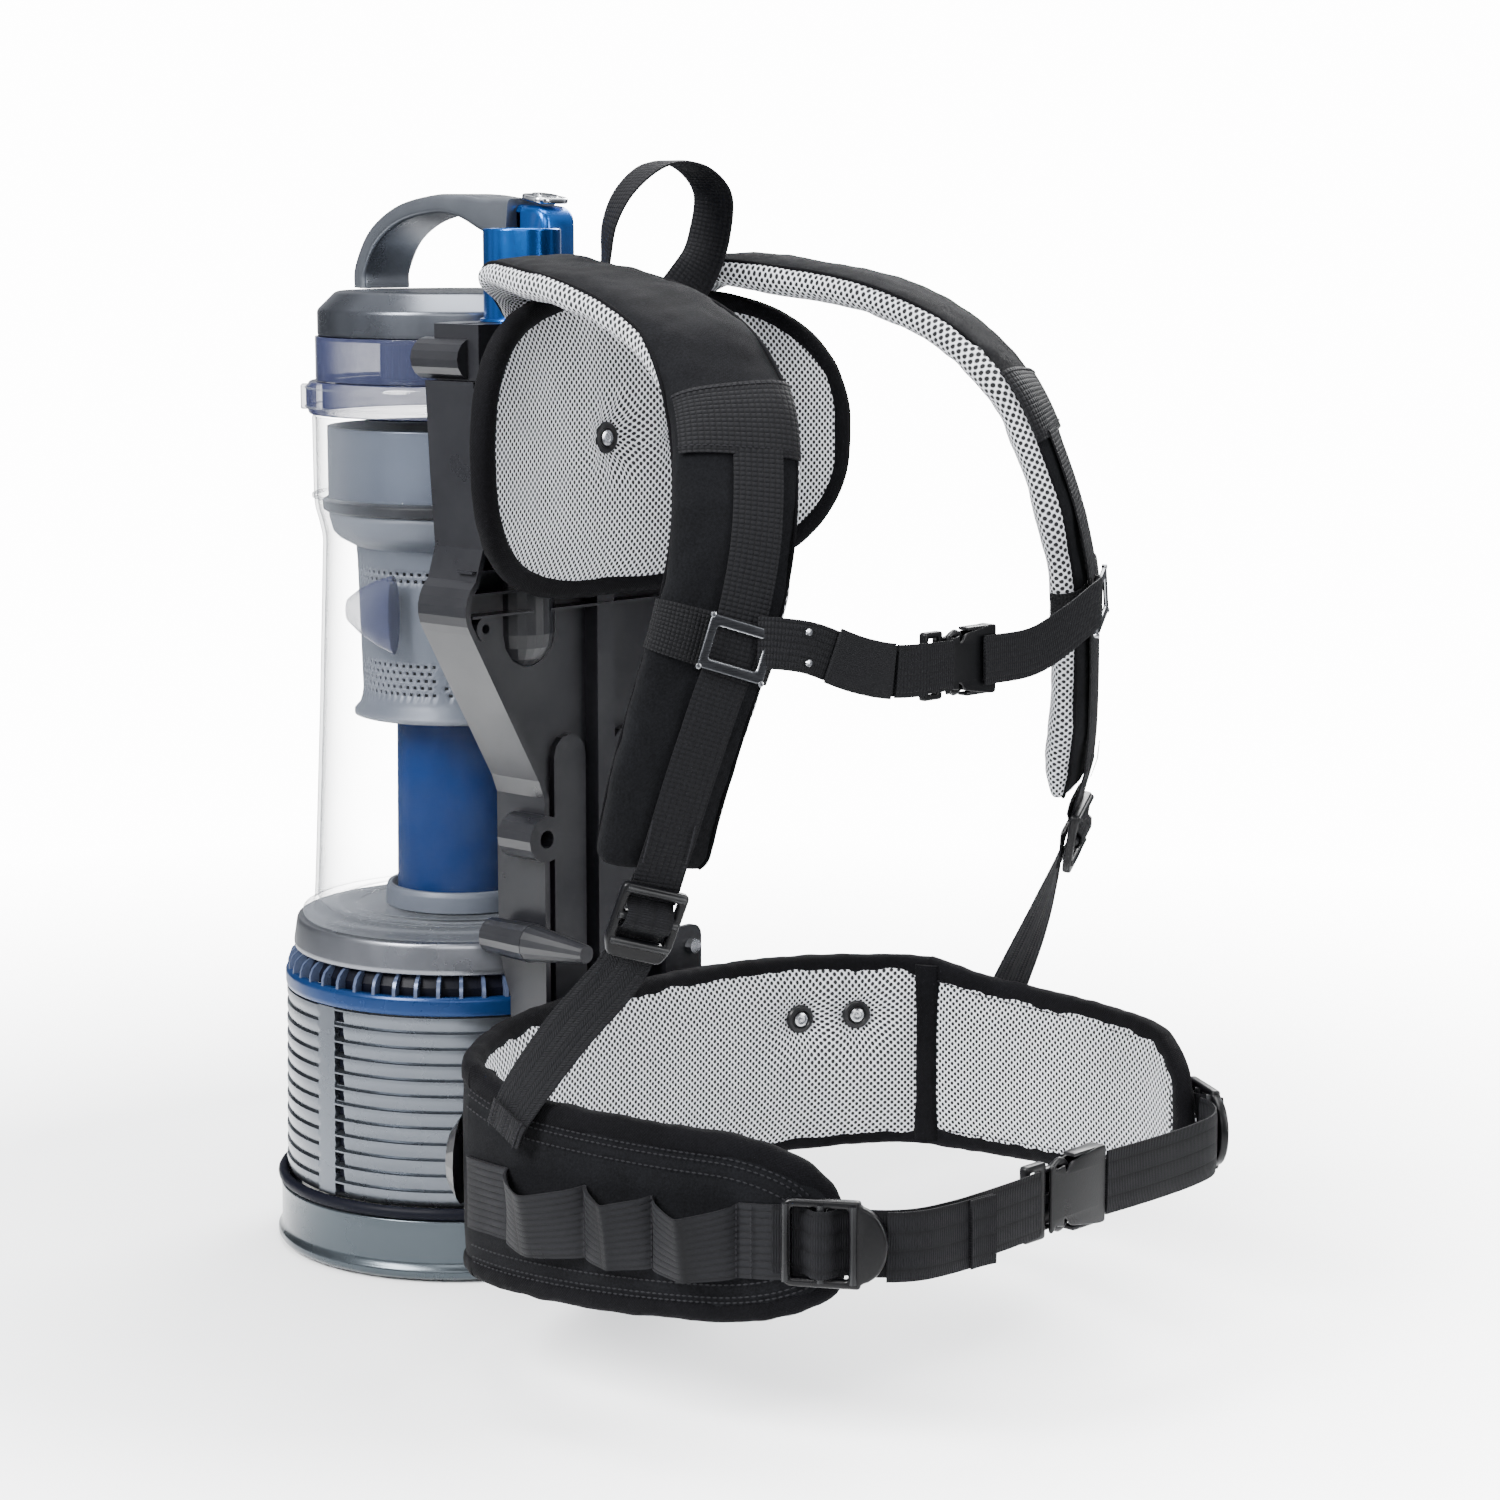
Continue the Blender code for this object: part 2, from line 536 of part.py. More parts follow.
# ---------------------------------------------------------------- hip belt
def belt_plan():
    """Plan of the belt's middle surface on the +X side, from the back to the wing's end."""
    return smooth_path([(0.000, -0.1440), (0.045, -0.1450), (0.090, -0.1505), (0.122, -0.1610),
                        (0.152, -0.1780), (0.1735, -0.1985), (0.1810, -0.2250), (0.1825, -0.2600),
                        (0.1795, -0.3000), (0.1715, -0.3450), (0.1590, -0.3850),
                        (0.1390, -0.4170)], 3)


def belt_edges(distance, reach):
    """Lower and upper edge of a wing at a distance along it; the end is rounded."""
    share = distance / reach
    low = BELT_LOW + 0.016 * share ** 1.5
    high = BELT_HIGH - 0.007 * min(1.0, share * 4) - 0.002 * share
    round_length = 0.062
    left = reach - distance
    if left < round_length:
        bow = 1 - math.sqrt(max(0.0, 1 - (1 - left / round_length) ** 2))
        low += 0.018 * bow
        high -= 0.036 * bow
    return low, high


def pad_rings(plan, edges, thickness):
    """Rings for a pad that stands on a plan curve, with rounded upper and lower edges."""
    rings = []
    soft = thickness * 0.35
    for i, point in enumerate(plan):
        ahead = (plan[min(i + 1, len(plan) - 1)] - plan[max(i - 1, 0)]).normalized()
        out = Vector((-ahead[1], ahead[0])) * thickness / 2
        low, high = edges[i]
        inner, outer = point - out, point + out
        core_in, core_out = point - out * 0.4, point + out * 0.4
        rings.append([(*core_in, low), (*inner, low + soft), (*inner, high - soft), (*core_in, high),
                      (*core_out, high), (*outer, high - soft), (*outer, low + soft), (*core_out, low)])
    return rings


def along(plan):
    """Distance from the first point of a plan to each of its points."""
    total, made = 0.0, [0.0]
    for a, b in zip(plan, plan[1:]):
        total += (b - a).length
        made.append(total)
    return made


def split_plan():
    """The belt's plan as the lumbar half and the wing, parted at the corner."""
    plan = belt_plan()
    corner = next(i for i, p in enumerate(plan) if p[0] > BELT_CORNER)
    back, wing = plan[:corner], plan[corner:]
    return back, wing


def make_belt(mats):
    """Lumbar pad and two wings."""
    back, wing = split_plan()
    lumbar = [Vector((-p[0], p[1])) for p in reversed(back[1:])] + back
    heights = [(BELT_LOW, BELT_HIGH + 0.006 * (1 - (p[0] / BELT_CORNER) ** 2)) for p in lumbar]
    pad = loft("lumbar_pad", pad_rings(lumbar, heights, BELT_THICK), mats["mesh"])
    dimples = []
    for side in (-1, 1):
        for i, (x, y) in enumerate(RIVET_SPOTS):
            ahead = Vector((side * RIVET_NORMALS[i][0], RIVET_NORMALS[i][1], 0))
            spot = Vector((side * x, y, RIVET_HEIGHT))
            dimples.append(rod("belt_dimple_%d_%d" % (side + 1, i), spot + ahead * 0.0008,
                               spot + ahead * 0.0100, (0.0088, 0.0110), mats["mesh"], 16))
    cut(pad, *dimples)
    distances = along(wing)
    edges = [belt_edges(d, distances[-1]) for d in distances]
    for name, side in SIDES.items():
        plan = [Vector((p[0] * side, p[1])) for p in wing]
        loft("belt_wing_" + name, pad_rings(plan, edges, BELT_THICK), mats["fabric"])


def make_lumbar_plate(mats):
    """Curved plate behind the belt, and the dome caps behind its corners."""
    back, _ = split_plan()
    half = [p for p in back if p[0] < 0.1230]
    plan = [Vector((-p[0], p[1])) for p in reversed(half[1:])] + half
    rings = []
    for i, point in enumerate(plan):
        ahead = (plan[min(i + 1, len(plan) - 1)] - plan[max(i - 1, 0)]).normalized()
        out = Vector((-ahead[1], ahead[0]))
        front, rear = point + out * 0.0062, point + out * 0.0092
        rise = 0.0055 if abs(point[0]) < 0.08 else 0.0
        high = 0.1560 + rise
        rings.append([(*front, 0.0700), (*front, high), (*rear, high), (*rear, 0.0700)])
    plate = loft("lumbar_plate", rings, mats["frame"])
    stand = box("plate_stand", (-0.0380, -0.1375, 0.0850), (0.0380, FRAME_FRONT - GAP, 0.1450),
                mats["frame"])
    join(plate, stand)
    for name, side in SIDES.items():
        normal = Vector((side * 0.560, 0.828, 0))
        spot = Vector((side * 0.1560, -0.1812, 0.1070)) + normal * 0.0072
        rod("belt_cap_" + name, spot, spot + normal * 0.0060, (0.0240, 0.0150), mats["buckle"])


def loop_swell(reach):
    """How far the elastic stands off the wing at a distance along it."""
    for start, end in zip(LOOP_TACKS, LOOP_TACKS[1:]):
        if start < reach < end:
            return LOOP_SWELL * math.sin(math.pi * (reach - start) / (end - start)) ** 0.55
    return 0.0


def make_tool_loops(mats):
    """One elastic strip on the right wing, sewn down between three loops."""
    _, wing = split_plan()
    plan = [Vector((-p[0], p[1])) for p in wing]
    distances = along(plan)
    clear = BELT_THICK / 2 + 2 * GAP + WEB_THICK / 2
    first, last, steps = LOOP_TACKS[0] - 0.014, distances[-1] - 0.012, 42
    path = []
    for i in range(steps + 1):
        share = i / steps
        reach = first + (last - first) * share
        index = max(k for k, d in enumerate(distances[:-1]) if d <= reach)
        blend = (reach - distances[index]) / (distances[index + 1] - distances[index])
        point = plan[index].lerp(plan[index + 1], blend)
        ahead = (plan[index + 1] - plan[index]).normalized()
        out = Vector((ahead[1], -ahead[0]))
        place = point + out * (clear + loop_swell(reach))
        path.append(Vector((*place, 0.1000 + 0.0090 * share)))
    ribbon("tool_loops", path, (0, 0, 1), LOOP_BAND, WEB_THICK, mats["webbing"])


def make_belt_hardware(mats):
    """Belt adjusters, waist webbing and the waist buckle."""
    tilt = math.radians(32)
    xs = (0, 0.0045, 0.0150, 0.0195, 0.0300, 0.0350, 0.0500)
    zs = (-0.0220, -0.0175, 0.0175, 0.0220)
    windows_and_corners = {(1, 1), (3, 1), (5, 0), (5, 2)}
    solid = {(i, j) for i in range(6) for j in range(3)} - windows_and_corners
    for name, side in SIDES.items():
        hinge = Vector((side * 0.1622, -0.4022, WAIST_HEIGHT))
        turn = Matrix.Rotation(math.radians(-90) - side * tilt, 4, "Z")
        place = Matrix.Translation(hinge) @ turn
        grid_plate("belt_adjuster_" + name, xs, zs, solid, 0.0050, mats["buckle"], place)
    for name, side, stop in (("right", -1, 0.0310), ("left", 1, 0.0230)):
        plan = [(0.1393, -0.4305), (0.1285, -0.4435), (0.1130, -0.4505), (0.0800, -0.4530),
                (stop, -0.4530)]
        route = smooth_path([(*place, WAIST_HEIGHT) for place in plan], 3)
        ribbon("waist_webbing_" + name, flip(route, side), (0, 0, 1), WAIST_WEB, WEB_THICK,
               mats["webbing"])
    make_buckle("waist_buckle", Vector((-0.0080, -0.4485, WAIST_HEIGHT)), 0.80, mats)


def make_buckle(name, centre, scale, mats):
    """Side-release buckle along X: a plug with three prongs, and the socket that takes it."""
    place = Matrix.Translation(centre)
    xs = [v * scale for v in (-0.0385, -0.0335, -0.0240, -0.0190, 0.0100)]
    zs = [v * scale for v in (-0.0245, -0.0195, -0.0120, -0.0035, 0.0035, 0.0120, 0.0195, 0.0245)]
    solid = {(i, j) for i in range(3) for j in range(7)} - {(1, j) for j in range(1, 6)}
    solid |= {(3, 1), (3, 3), (3, 5)}
    grid_plate(name + "_plug", xs, zs, solid, 0.0045 * scale, mats["buckle"], place)
    wall, half = 0.0018, 0.0058
    left, right, end = -0.0170 * scale, 0.0330 * scale, 0.0380 * scale
    shape = [(left, -half * scale), (end, -half * scale), (end, half * scale), (left, half * scale),
             (left, (half - wall) * scale), (right, (half - wall) * scale),
             (right, (wall - half) * scale), (left, (wall - half) * scale)]
    outline = [(centre[0] + x, centre[1] + y) for x, y in shape]
    reach = 0.0250 * scale
    prism(name + "_socket", outline, "xy", centre[2] - reach, centre[2] + reach, mats["buckle"])


# ---------------------------------------------------------------- back pad and shoulder straps
def make_back_pad(mats):
    """Back pad: a rounded rectangle whose sides come forward around the wearer."""
    columns = 16
    middle, half_height = (PAD_LOW + PAD_HIGH) / 2, (PAD_HIGH - PAD_LOW) / 2
    plan, edges = [], []
    for i in range(columns + 1):
        share = -1 + 2 * i / columns
        x = PAD_HALF * math.sin(share * math.pi / 2)
        plan.append(Vector((x, -0.1345 - 0.0370 * (x / PAD_HALF) ** 2)))
        fall = abs(x / PAD_HALF)
        reach = half_height * max(0.22, (1 - fall ** 3.2)) ** (1 / 2.2)
        edges.append((middle - reach, middle + reach))
    pad = loft("back_pad", pad_rings(plan, edges, PAD_THICK), mats["mesh"])
    for name, x in (("right", -0.0230), ("left", 0.0340)):
        front = -0.1345 - 0.0370 * (x / PAD_HALF) ** 2 - PAD_THICK / 2
        cut(pad, rod("pad_dimple_" + name, (x, front - 0.004, 0.4720),
                     (x, front + 0.0050, 0.4720), (0.0125, 0.0088), mats["mesh"], 16))
        rod("pad_rivet_" + name, (x, front + 0.0046, 0.4720), (x, front + 0.0016, 0.4720),
            (0.0080, 0.0072), mats["seal"], 20)


def strap_route():
    """Centre line of the left shoulder strap from the bracket to its lower end."""
    return smooth_path([(0.0600, -0.1215, 0.5360), (0.0630, -0.1270, 0.5510), (0.0720, -0.1450, 0.5600),
                        (0.0830, -0.1780, 0.5565), (0.0905, -0.2130, 0.5520),
                        (0.0955, -0.2490, 0.5435), (0.1000, -0.2830, 0.5290),
                        (0.1050, -0.3070, 0.5100), (0.1115, -0.3230, 0.4860),
                        (0.1240, -0.3350, 0.4400), (0.1365, -0.3360, 0.3980),
                        (0.1465, -0.3300, 0.3620), (0.1560, -0.3220, 0.3200),
                        (0.1592, -0.3172, 0.2960), (0.1605, -0.3150, 0.2790)], 2)


def strap_frames(side):
    """Point, width direction and outward direction at each station of one strap."""
    path = flip(strap_route(), side)
    frames = []
    for i, point in enumerate(path):
        ahead = (path[min(i + 1, len(path) - 1)] - path[max(i - 1, 0)]).normalized()
        share = i / (len(path) - 1)
        swing = math.radians(12 + 16 * min(1.0, share * 1.8))
        across = Vector((math.cos(swing), side * math.sin(swing), 0))
        across = (across - ahead * across.dot(ahead)).normalized()
        frames.append((point, across, ahead.cross(across).normalized(), share))
    return frames


def strap_at(side, height):
    """The strap's frame at a height on its front stretch, between two stations."""
    frames = strap_frames(side)
    index = max(i for i, f in enumerate(frames) if f[0][2] >= height)
    above, below = frames[index], frames[index + 1]
    blend = (above[0][2] - height) / (above[0][2] - below[0][2])
    point, across, out = (above[k].lerp(below[k], blend) for k in range(3))
    return point, across.normalized(), out.normalized(), above[3]


def strap_thickness(share):
    """Half thickness along the strap: thin at the bracket, full over the shoulder."""
    return STRAP_THICK / 2 * min(1.0, 0.24 + share * 4, 0.60 + (1 - share) * 6)


def strap_half(share):
    """Half width along the strap: narrow at the bracket, and a little narrower low down."""
    return STRAP_HALF * min(1.0, 0.66 + share * 3) * (1 - 0.10 * max(0.0, share - 0.6) / 0.4)


WEB_START = 0.56            # share of the strap's length where the sewn-on webbing starts


def web_offset(share):
    """How far the webbing lies towards the neck from the strap's middle."""
    return 0.0070 - 0.0060 * max(0.0, share - 0.75) / 0.25


def make_straps(mats):
    """Padded shoulder straps with the webbing sewn along them."""
    for name, side in SIDES.items():
        frames = strap_frames(side)
        rings = []
        for point, across, out, share in frames:
            half, thick = strap_half(share), strap_thickness(share)
            ring = []
            for k in range(12):
                angle = 2 * math.pi * (k + 0.5) / 12
                a, b = math.cos(angle), math.sin(angle)
                ring.append(point + across * half * math.copysign(abs(a) ** 0.6, a)
                            + out * thick * math.copysign(abs(b) ** 0.75, b))
            rings.append(ring)
        loft("shoulder_strap_" + name, rings, mats["fabric"], crease=60)
        webbing, sides = [], []
        for point, across, out, share in frames:
            if share > WEB_START:
                shift = across * -side * web_offset(share)
                webbing.append(point + shift
                               + out * (strap_thickness(share) + WEB_THICK / 2 + 0.0022))
                sides.append(across)
        below = (frames[-1][0] - frames[-2][0]).normalized()
        webbing.append(webbing[-1] + below * 0.0040)
        sides.append(sides[-1])
        ribbon("strap_webbing_" + name, webbing, sides, SHOULDER_WEB, WEB_THICK, mats["webbing"])


def make_tri_glides(mats):
    """Metal tri-glides in front of the shoulder webbing, where the sternum strap starts."""
    for name, side in SIDES.items():
        point, across, out, share = strap_at(side, GLIDE_HEIGHT)
        clear = strap_thickness(share) + WEB_THICK + 3 * GAP + 0.0036
        down = across.cross(out).normalized()
        if down[2] > 0:
            down = -down
        matrix = Matrix((across, out, down)).transposed().to_4x4()
        matrix.translation = point + out * clear - across * side * web_offset(share)
        xs = (-0.0172, -0.0132, 0.0132, 0.0172)
        zs = (-0.0132, -0.0088, 0.0088, 0.0132)
        solid = {(i, j) for i in range(3) for j in range(3)} - {(1, 1)}
        grid_plate("tri_glide_" + name, xs, zs, solid, 0.0024, mats["steel"], matrix)


def make_lower_straps(mats):
    """Strap-end adjusters and the webbing down to the belt."""
    for name, side in SIDES.items():
        top = Vector((side * 0.1644, -0.3184, 0.2674))
        down = Vector((side * 0.16, 0.30, -0.940)).normalized()
        across = Vector((math.cos(math.radians(28)), side * math.sin(math.radians(28)), 0))
        across = (across - down * across.dot(down)).normalized()
        out = down.cross(across).normalized()
        if out[1] > 0:
            out = -out
        matrix = Matrix((across, out, down)).transposed().to_4x4()
        matrix.translation = top + out * 0.0042
        xs = (-0.0175, -0.0135, 0.0135, 0.0175)
        zs = (-0.004, 0.001, 0.009, 0.013, 0.021, 0.026, 0.034)
        solid = {(i, j) for i in range(3) for j in range(6)} - {(1, 1), (1, 3)}
        grid_plate("strap_adjuster_" + name, xs, zs, solid, 0.0045, mats["buckle"], matrix)
        start = top + down * 0.012 - out * 0.0022
        route = smooth_path([start, start + down * 0.030 - out * 0.001,
                             Vector((side * 0.1840, -0.2790, 0.1950)),
                             Vector((side * 0.1938, -0.2540, 0.1580)),
                             Vector((side * 0.1946, -0.2450, 0.1400))], 3)
        last = Vector((0, side, 0.25 * side))
        turns = [across.lerp(last, min(1.0, i / (len(route) - 3))) for i in range(len(route))]
        ribbon("lower_webbing_" + name, route, turns, NARROW_WEB, WEB_THICK, mats["webbing"])


def make_grab_loop(mats):
    """Webbing loop at the top of the frame."""
    loop = [(-0.0280, -0.1470, 0.5500), (-0.0310, -0.1520, 0.5640), (-0.0330, -0.1580, 0.5860),
            (-0.0240, -0.1620, 0.6070), (-0.0040, -0.1650, 0.6220), (0.0230, -0.1650, 0.6215),
            (0.0440, -0.1630, 0.6040), (0.0410, -0.1600, 0.5800), (0.0350, -0.1570, 0.5620),
            (0.0300, -0.1480, 0.5500)]
    route = smooth_path(loop, 3)
    foot, far_foot = Vector((0.70, 0.71, 0.0)), Vector((0.55, -0.83, 0.0))
    turns = [foot.lerp(far_foot, i / (len(route) - 1)) for i in range(len(route))]
    ribbon("grab_loop", route, turns, NARROW_WEB, WEB_THICK + 0.0006, mats["webbing"])


def make_sternum(mats):
    """Sternum webbing on each side and its side-release buckle."""
    make_buckle("sternum_buckle", Vector((-0.0030, -0.3735, CHEST_HEIGHT)), 0.68, mats)
    right = smooth_path([(-0.1236, -0.3645, 0.3890), (-0.1100, -0.3735, 0.3855),
                         (-0.0850, -0.3790, 0.3760), (-0.0550, -0.3795, 0.3700),
                         (-0.0130, -0.3795, CHEST_HEIGHT)], 4)
    left = smooth_path([(0.1236, -0.3645, 0.3890), (0.1120, -0.3735, 0.3900),
                        (0.0800, -0.3790, 0.3790), (0.0500, -0.3795, 0.3700),
                        (0.0120, -0.3795, CHEST_HEIGHT)], 4)
    for name, route in (("right", right), ("left", left)):
        ribbon("sternum_webbing_" + name, route, (0, 0, 1), NARROW_WEB, WEB_THICK, mats["webbing"])


# ---------------------------------------------------------------- electrics
def make_electrics(mats):
    """Power inlet plate and rocker switch at the back of the motor housing, away from the wearer."""
    face = 0.1100
    inlet = box("power_inlet", (-0.0350, 0.0960, 0.0660), (0.0310, face, 0.1000), mats["seal"])
    socket = box("inlet_socket", (-0.0290, face - 0.0050, 0.0730), (-0.0070, face + 0.0100, 0.0930),
                 mats["seal"])
    window = box("switch_window", (0.0110, 0.0900, 0.0710), (0.0270, face + 0.0100, 0.0950),
                 mats["seal"])
    housing_room = lathe("housing_room", [(0, 0.0400), (0.1050, 0.0400), (0.1050, 0.1100), (0, 0.1100)],
                         mats["seal"], 64)
    cut(inlet, socket, window, housing_room)
    middle, half = 0.0830, 0.0105
    side = [(face - 0.0035, middle - half), (face + 0.0025, middle - half), (face + 0.0010, middle),
            (face + 0.0025, middle + half), (face - 0.0035, middle + half)]
    prism("power_switch", side, "yz", 0.0120, 0.0260, mats["seal"])


def main():
    """Clear the scene and build every piece."""
    for leftover in list(bpy.data.objects):
        bpy.data.objects.remove(leftover, do_unlink=True)
    mats = make_materials()
    for maker in (make_base, make_housing, make_motor, make_bin, make_head, make_handle,
                  make_frame, make_inlet, make_side_bracket, make_belt, make_lumbar_plate,
                  make_tool_loops, make_belt_hardware, make_back_pad, make_straps,
                  make_tri_glides, make_lower_straps, make_grab_loop, make_sternum,
                  make_electrics):
        maker(mats)


main()
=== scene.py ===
"""Looks of the backpack vacuum cleaner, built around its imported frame.

Metres, +Z up, in the frame of the CAD model: the canister's axis is Z, the wearer is on the -Y
side, and the wearer's right is -X.
"""
import json
import math

import bmesh
import bpy
import numpy as np
from mathutils import Matrix, Vector, noise

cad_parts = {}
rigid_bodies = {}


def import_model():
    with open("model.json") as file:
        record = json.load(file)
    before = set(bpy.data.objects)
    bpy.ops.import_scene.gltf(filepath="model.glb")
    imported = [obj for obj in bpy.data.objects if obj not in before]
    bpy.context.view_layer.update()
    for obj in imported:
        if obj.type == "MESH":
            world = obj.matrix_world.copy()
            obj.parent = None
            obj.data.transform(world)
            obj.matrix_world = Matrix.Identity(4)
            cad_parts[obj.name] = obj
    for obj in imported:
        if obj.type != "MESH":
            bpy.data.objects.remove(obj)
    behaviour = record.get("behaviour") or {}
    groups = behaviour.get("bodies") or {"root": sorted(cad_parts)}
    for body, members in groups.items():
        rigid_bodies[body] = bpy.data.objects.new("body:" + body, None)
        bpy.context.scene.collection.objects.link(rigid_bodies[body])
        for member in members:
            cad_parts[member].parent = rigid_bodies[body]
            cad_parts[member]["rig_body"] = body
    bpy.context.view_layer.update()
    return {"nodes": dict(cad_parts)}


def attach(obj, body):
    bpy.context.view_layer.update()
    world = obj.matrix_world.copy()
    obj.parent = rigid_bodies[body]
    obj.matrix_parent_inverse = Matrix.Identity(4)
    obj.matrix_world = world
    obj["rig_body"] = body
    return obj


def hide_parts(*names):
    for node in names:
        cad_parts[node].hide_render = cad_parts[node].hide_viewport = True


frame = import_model()
NODES = frame["nodes"]
SIDES = {"right": -1, "left": 1}
TAU = 2 * math.pi


# ---------------------------------------------------------------- shaders
class Shader:
    """A Principled material wired from small procedural pieces."""

    def __init__(self, name, colour, rough, metal=0.0, **inputs):
        self.material = bpy.data.materials.new(name)
        self.material.use_nodes = True
        self.tree = self.material.node_tree
        self.bsdf = self.tree.nodes["Principled BSDF"]
        self.colour = colour
        self.wire((*colour, 1), "Base Color")
        self.wire(rough, "Roughness")
        self.wire(metal, "Metallic")
        for key, value in inputs.items():
            self.wire(value, key.replace("_", " "))
        self.material.diffuse_color = (*colour, 1)

    def put(self, value, socket):
        if isinstance(value, bpy.types.NodeSocket):
            self.tree.links.new(value, socket)
        elif value is not None:
            socket.default_value = value

    def wire(self, value, name):
        self.put(value, self.bsdf.inputs[name])

    def node(self, kind, **properties):
        made = self.tree.nodes.new("ShaderNode" + kind)
        for key, value in properties.items():
            setattr(made, key, value)
        return made

    def coords(self, kind="Object"):
        return self.node("TexCoord").outputs[kind]

    def parts(self, vector):
        made = self.node("SeparateXYZ")
        self.put(vector, made.inputs[0])
        return made.outputs

    def math(self, operation, a, b=0.0, clamp=False):
        made = self.node("Math", operation=operation, use_clamp=clamp)
        self.put(a, made.inputs[0])
        self.put(b, made.inputs[1])
        return made.outputs[0]

    def vec(self, operation, a, b=None):
        made = self.node("VectorMath", operation=operation)
        self.put(a, made.inputs[0])
        self.put(b, made.inputs[1])
        return made.outputs["Value" if operation in ("LENGTH", "DOT_PRODUCT") else "Vector"]

    def noise(self, scale, detail=3.0, vector=None, rough=0.55):
        made = self.node("TexNoise")
        self.put(self.coords() if vector is None else vector, made.inputs["Vector"])
        self.put(scale, made.inputs["Scale"])
        self.put(detail, made.inputs["Detail"])
        self.put(rough, made.inputs["Roughness"])
        return made.outputs["Fac"]

    def ramp(self, value, low, high, start=0.0, end=1.0):
        made = self.node("MapRange", clamp=True)
        for socket, number in zip(made.inputs, (value, start, end, low, high)):
            self.put(number, socket)
        return made.outputs["Result"]

    def mix(self, factor, a, b):
        made = self.node("Mix", data_type="RGBA")
        self.put(factor, made.inputs["Factor"])
        for value, socket in ((a, made.inputs[6]), (b, made.inputs[7])):
            self.put((*value, 1) if isinstance(value, tuple) and len(value) == 3 else value, socket)
        return made.outputs[2]

    def bump(self, height, distance, strength=1.0, normal=None):
        made = self.node("Bump")
        self.put(height, made.inputs["Height"])
        self.put(distance, made.inputs["Distance"])
        self.put(strength, made.inputs["Strength"])
        self.put(normal, made.inputs["Normal"])
        return made.outputs["Normal"]

    def shade(self, share):
        """The material's colour, lighter or darker."""
        return tuple(min(1.0, c * share) for c in self.colour)


def plastic(name, colour, rough, metal=0.0, grain=0.25, edge_highlight=0.25, gloss=0.30, **inputs):
    """Moulded plastic: cloudy gloss, a fine texture, and a painted highlight that makes convex edges
    paler.
    """
    s = Shader(name, colour, rough, metal, Specular_IOR_Level=gloss, **inputs)
    cloud = s.noise(26, 4)
    smear = s.noise(190, 3)
    rough_map = s.math("ADD", s.ramp(cloud, rough * 0.80, rough * 1.22, 0.3, 0.7),
                       s.math("MULTIPLY", smear, 0.05))
    s.wire(rough_map, "Roughness")
    base = s.mix(cloud, s.shade(0.88), s.shade(1.14))
    # Painted highlight: convex edges, found by pointiness, are blended towards a paler copy of the
    # colour.
    edge = s.ramp(s.node("NewGeometry").outputs["Pointiness"], 0.0, edge_highlight, 0.53, 0.62)
    s.wire(s.mix(edge, base, s.mix(0.5, s.shade(1.6), (0.55, 0.57, 0.60))), "Base Color")
    s.wire(s.bump(s.noise(1500, 2), 0.00012, grain), "Normal")
    return s.material


def metal(name, colour, rough, brush=0.3):
    """Bright metal with a fine brushed grain."""
    s = Shader(name, colour, rough, 1.0)
    stretch = s.vec("MULTIPLY", s.coords(), (90.0, 90.0, 2600.0))
    grain = s.noise(1.0, 3, stretch)
    s.wire(s.ramp(grain, rough * 0.75, rough * 1.3), "Roughness")
    s.wire(s.mix(s.noise(60, 3), s.shade(0.88), s.shade(1.08)), "Base Color")
    s.wire(s.bump(grain, 0.00005, brush), "Normal")
    return s.material


def clear(name, colour, rough, tint_edge, body=0.03):
    """Thin clear plastic: see-through face on, and dark or tinted at grazing angles."""
    s = Shader(name, colour, rough, 0.0, IOR=1.49, Specular_IOR_Level=0.55)
    facing = s.node("LayerWeight")
    facing.inputs["Blend"].default_value = 0.46
    edge = s.math("POWER", facing.outputs["Facing"], 2.6)
    cloud = s.ramp(s.noise(38, 3), 0.0, 0.02, 0.35, 0.75)
    alpha = s.math("ADD", s.math("MULTIPLY", edge, 0.85), s.math("ADD", cloud, body), clamp=True)
    s.wire(alpha, "Alpha")
    s.wire(s.mix(edge, colour, tint_edge), "Base Color")
    s.wire(s.bump(s.noise(14, 2), 0.0006, 0.25), "Normal")
    return s.material


def cover(name, colour, pitch=0.00085):
    """Tightly woven cover cloth with a heathered tone and a soft sheen."""
    s = Shader(name, colour, 0.86, Specular_IOR_Level=0.06, Sheen_Weight=0.010)
    u, v, _ = s.parts(s.coords("UV"))
    rows = s.math("SINE", s.math("MULTIPLY", u, TAU / pitch))
    picks = s.math("SINE", s.math("MULTIPLY", v, TAU / pitch))
    weave = s.math("MULTIPLY", rows, picks)
    heather = s.noise(900, 3)
    blotch = s.noise(28, 4)
    height = s.math("ADD", s.math("MULTIPLY", weave, 0.5), heather)
    s.wire(s.bump(height, 0.00022, 0.8, s.bump(blotch, 0.0016, 0.35)), "Normal")
    tone = s.ramp(s.math("ADD", heather, s.math("MULTIPLY", blotch, 0.6)), 0.0, 1.0, 0.55, 1.05)
    s.wire(s.mix(tone, s.shade(0.55), s.shade(1.7)), "Base Color")
    return s.material


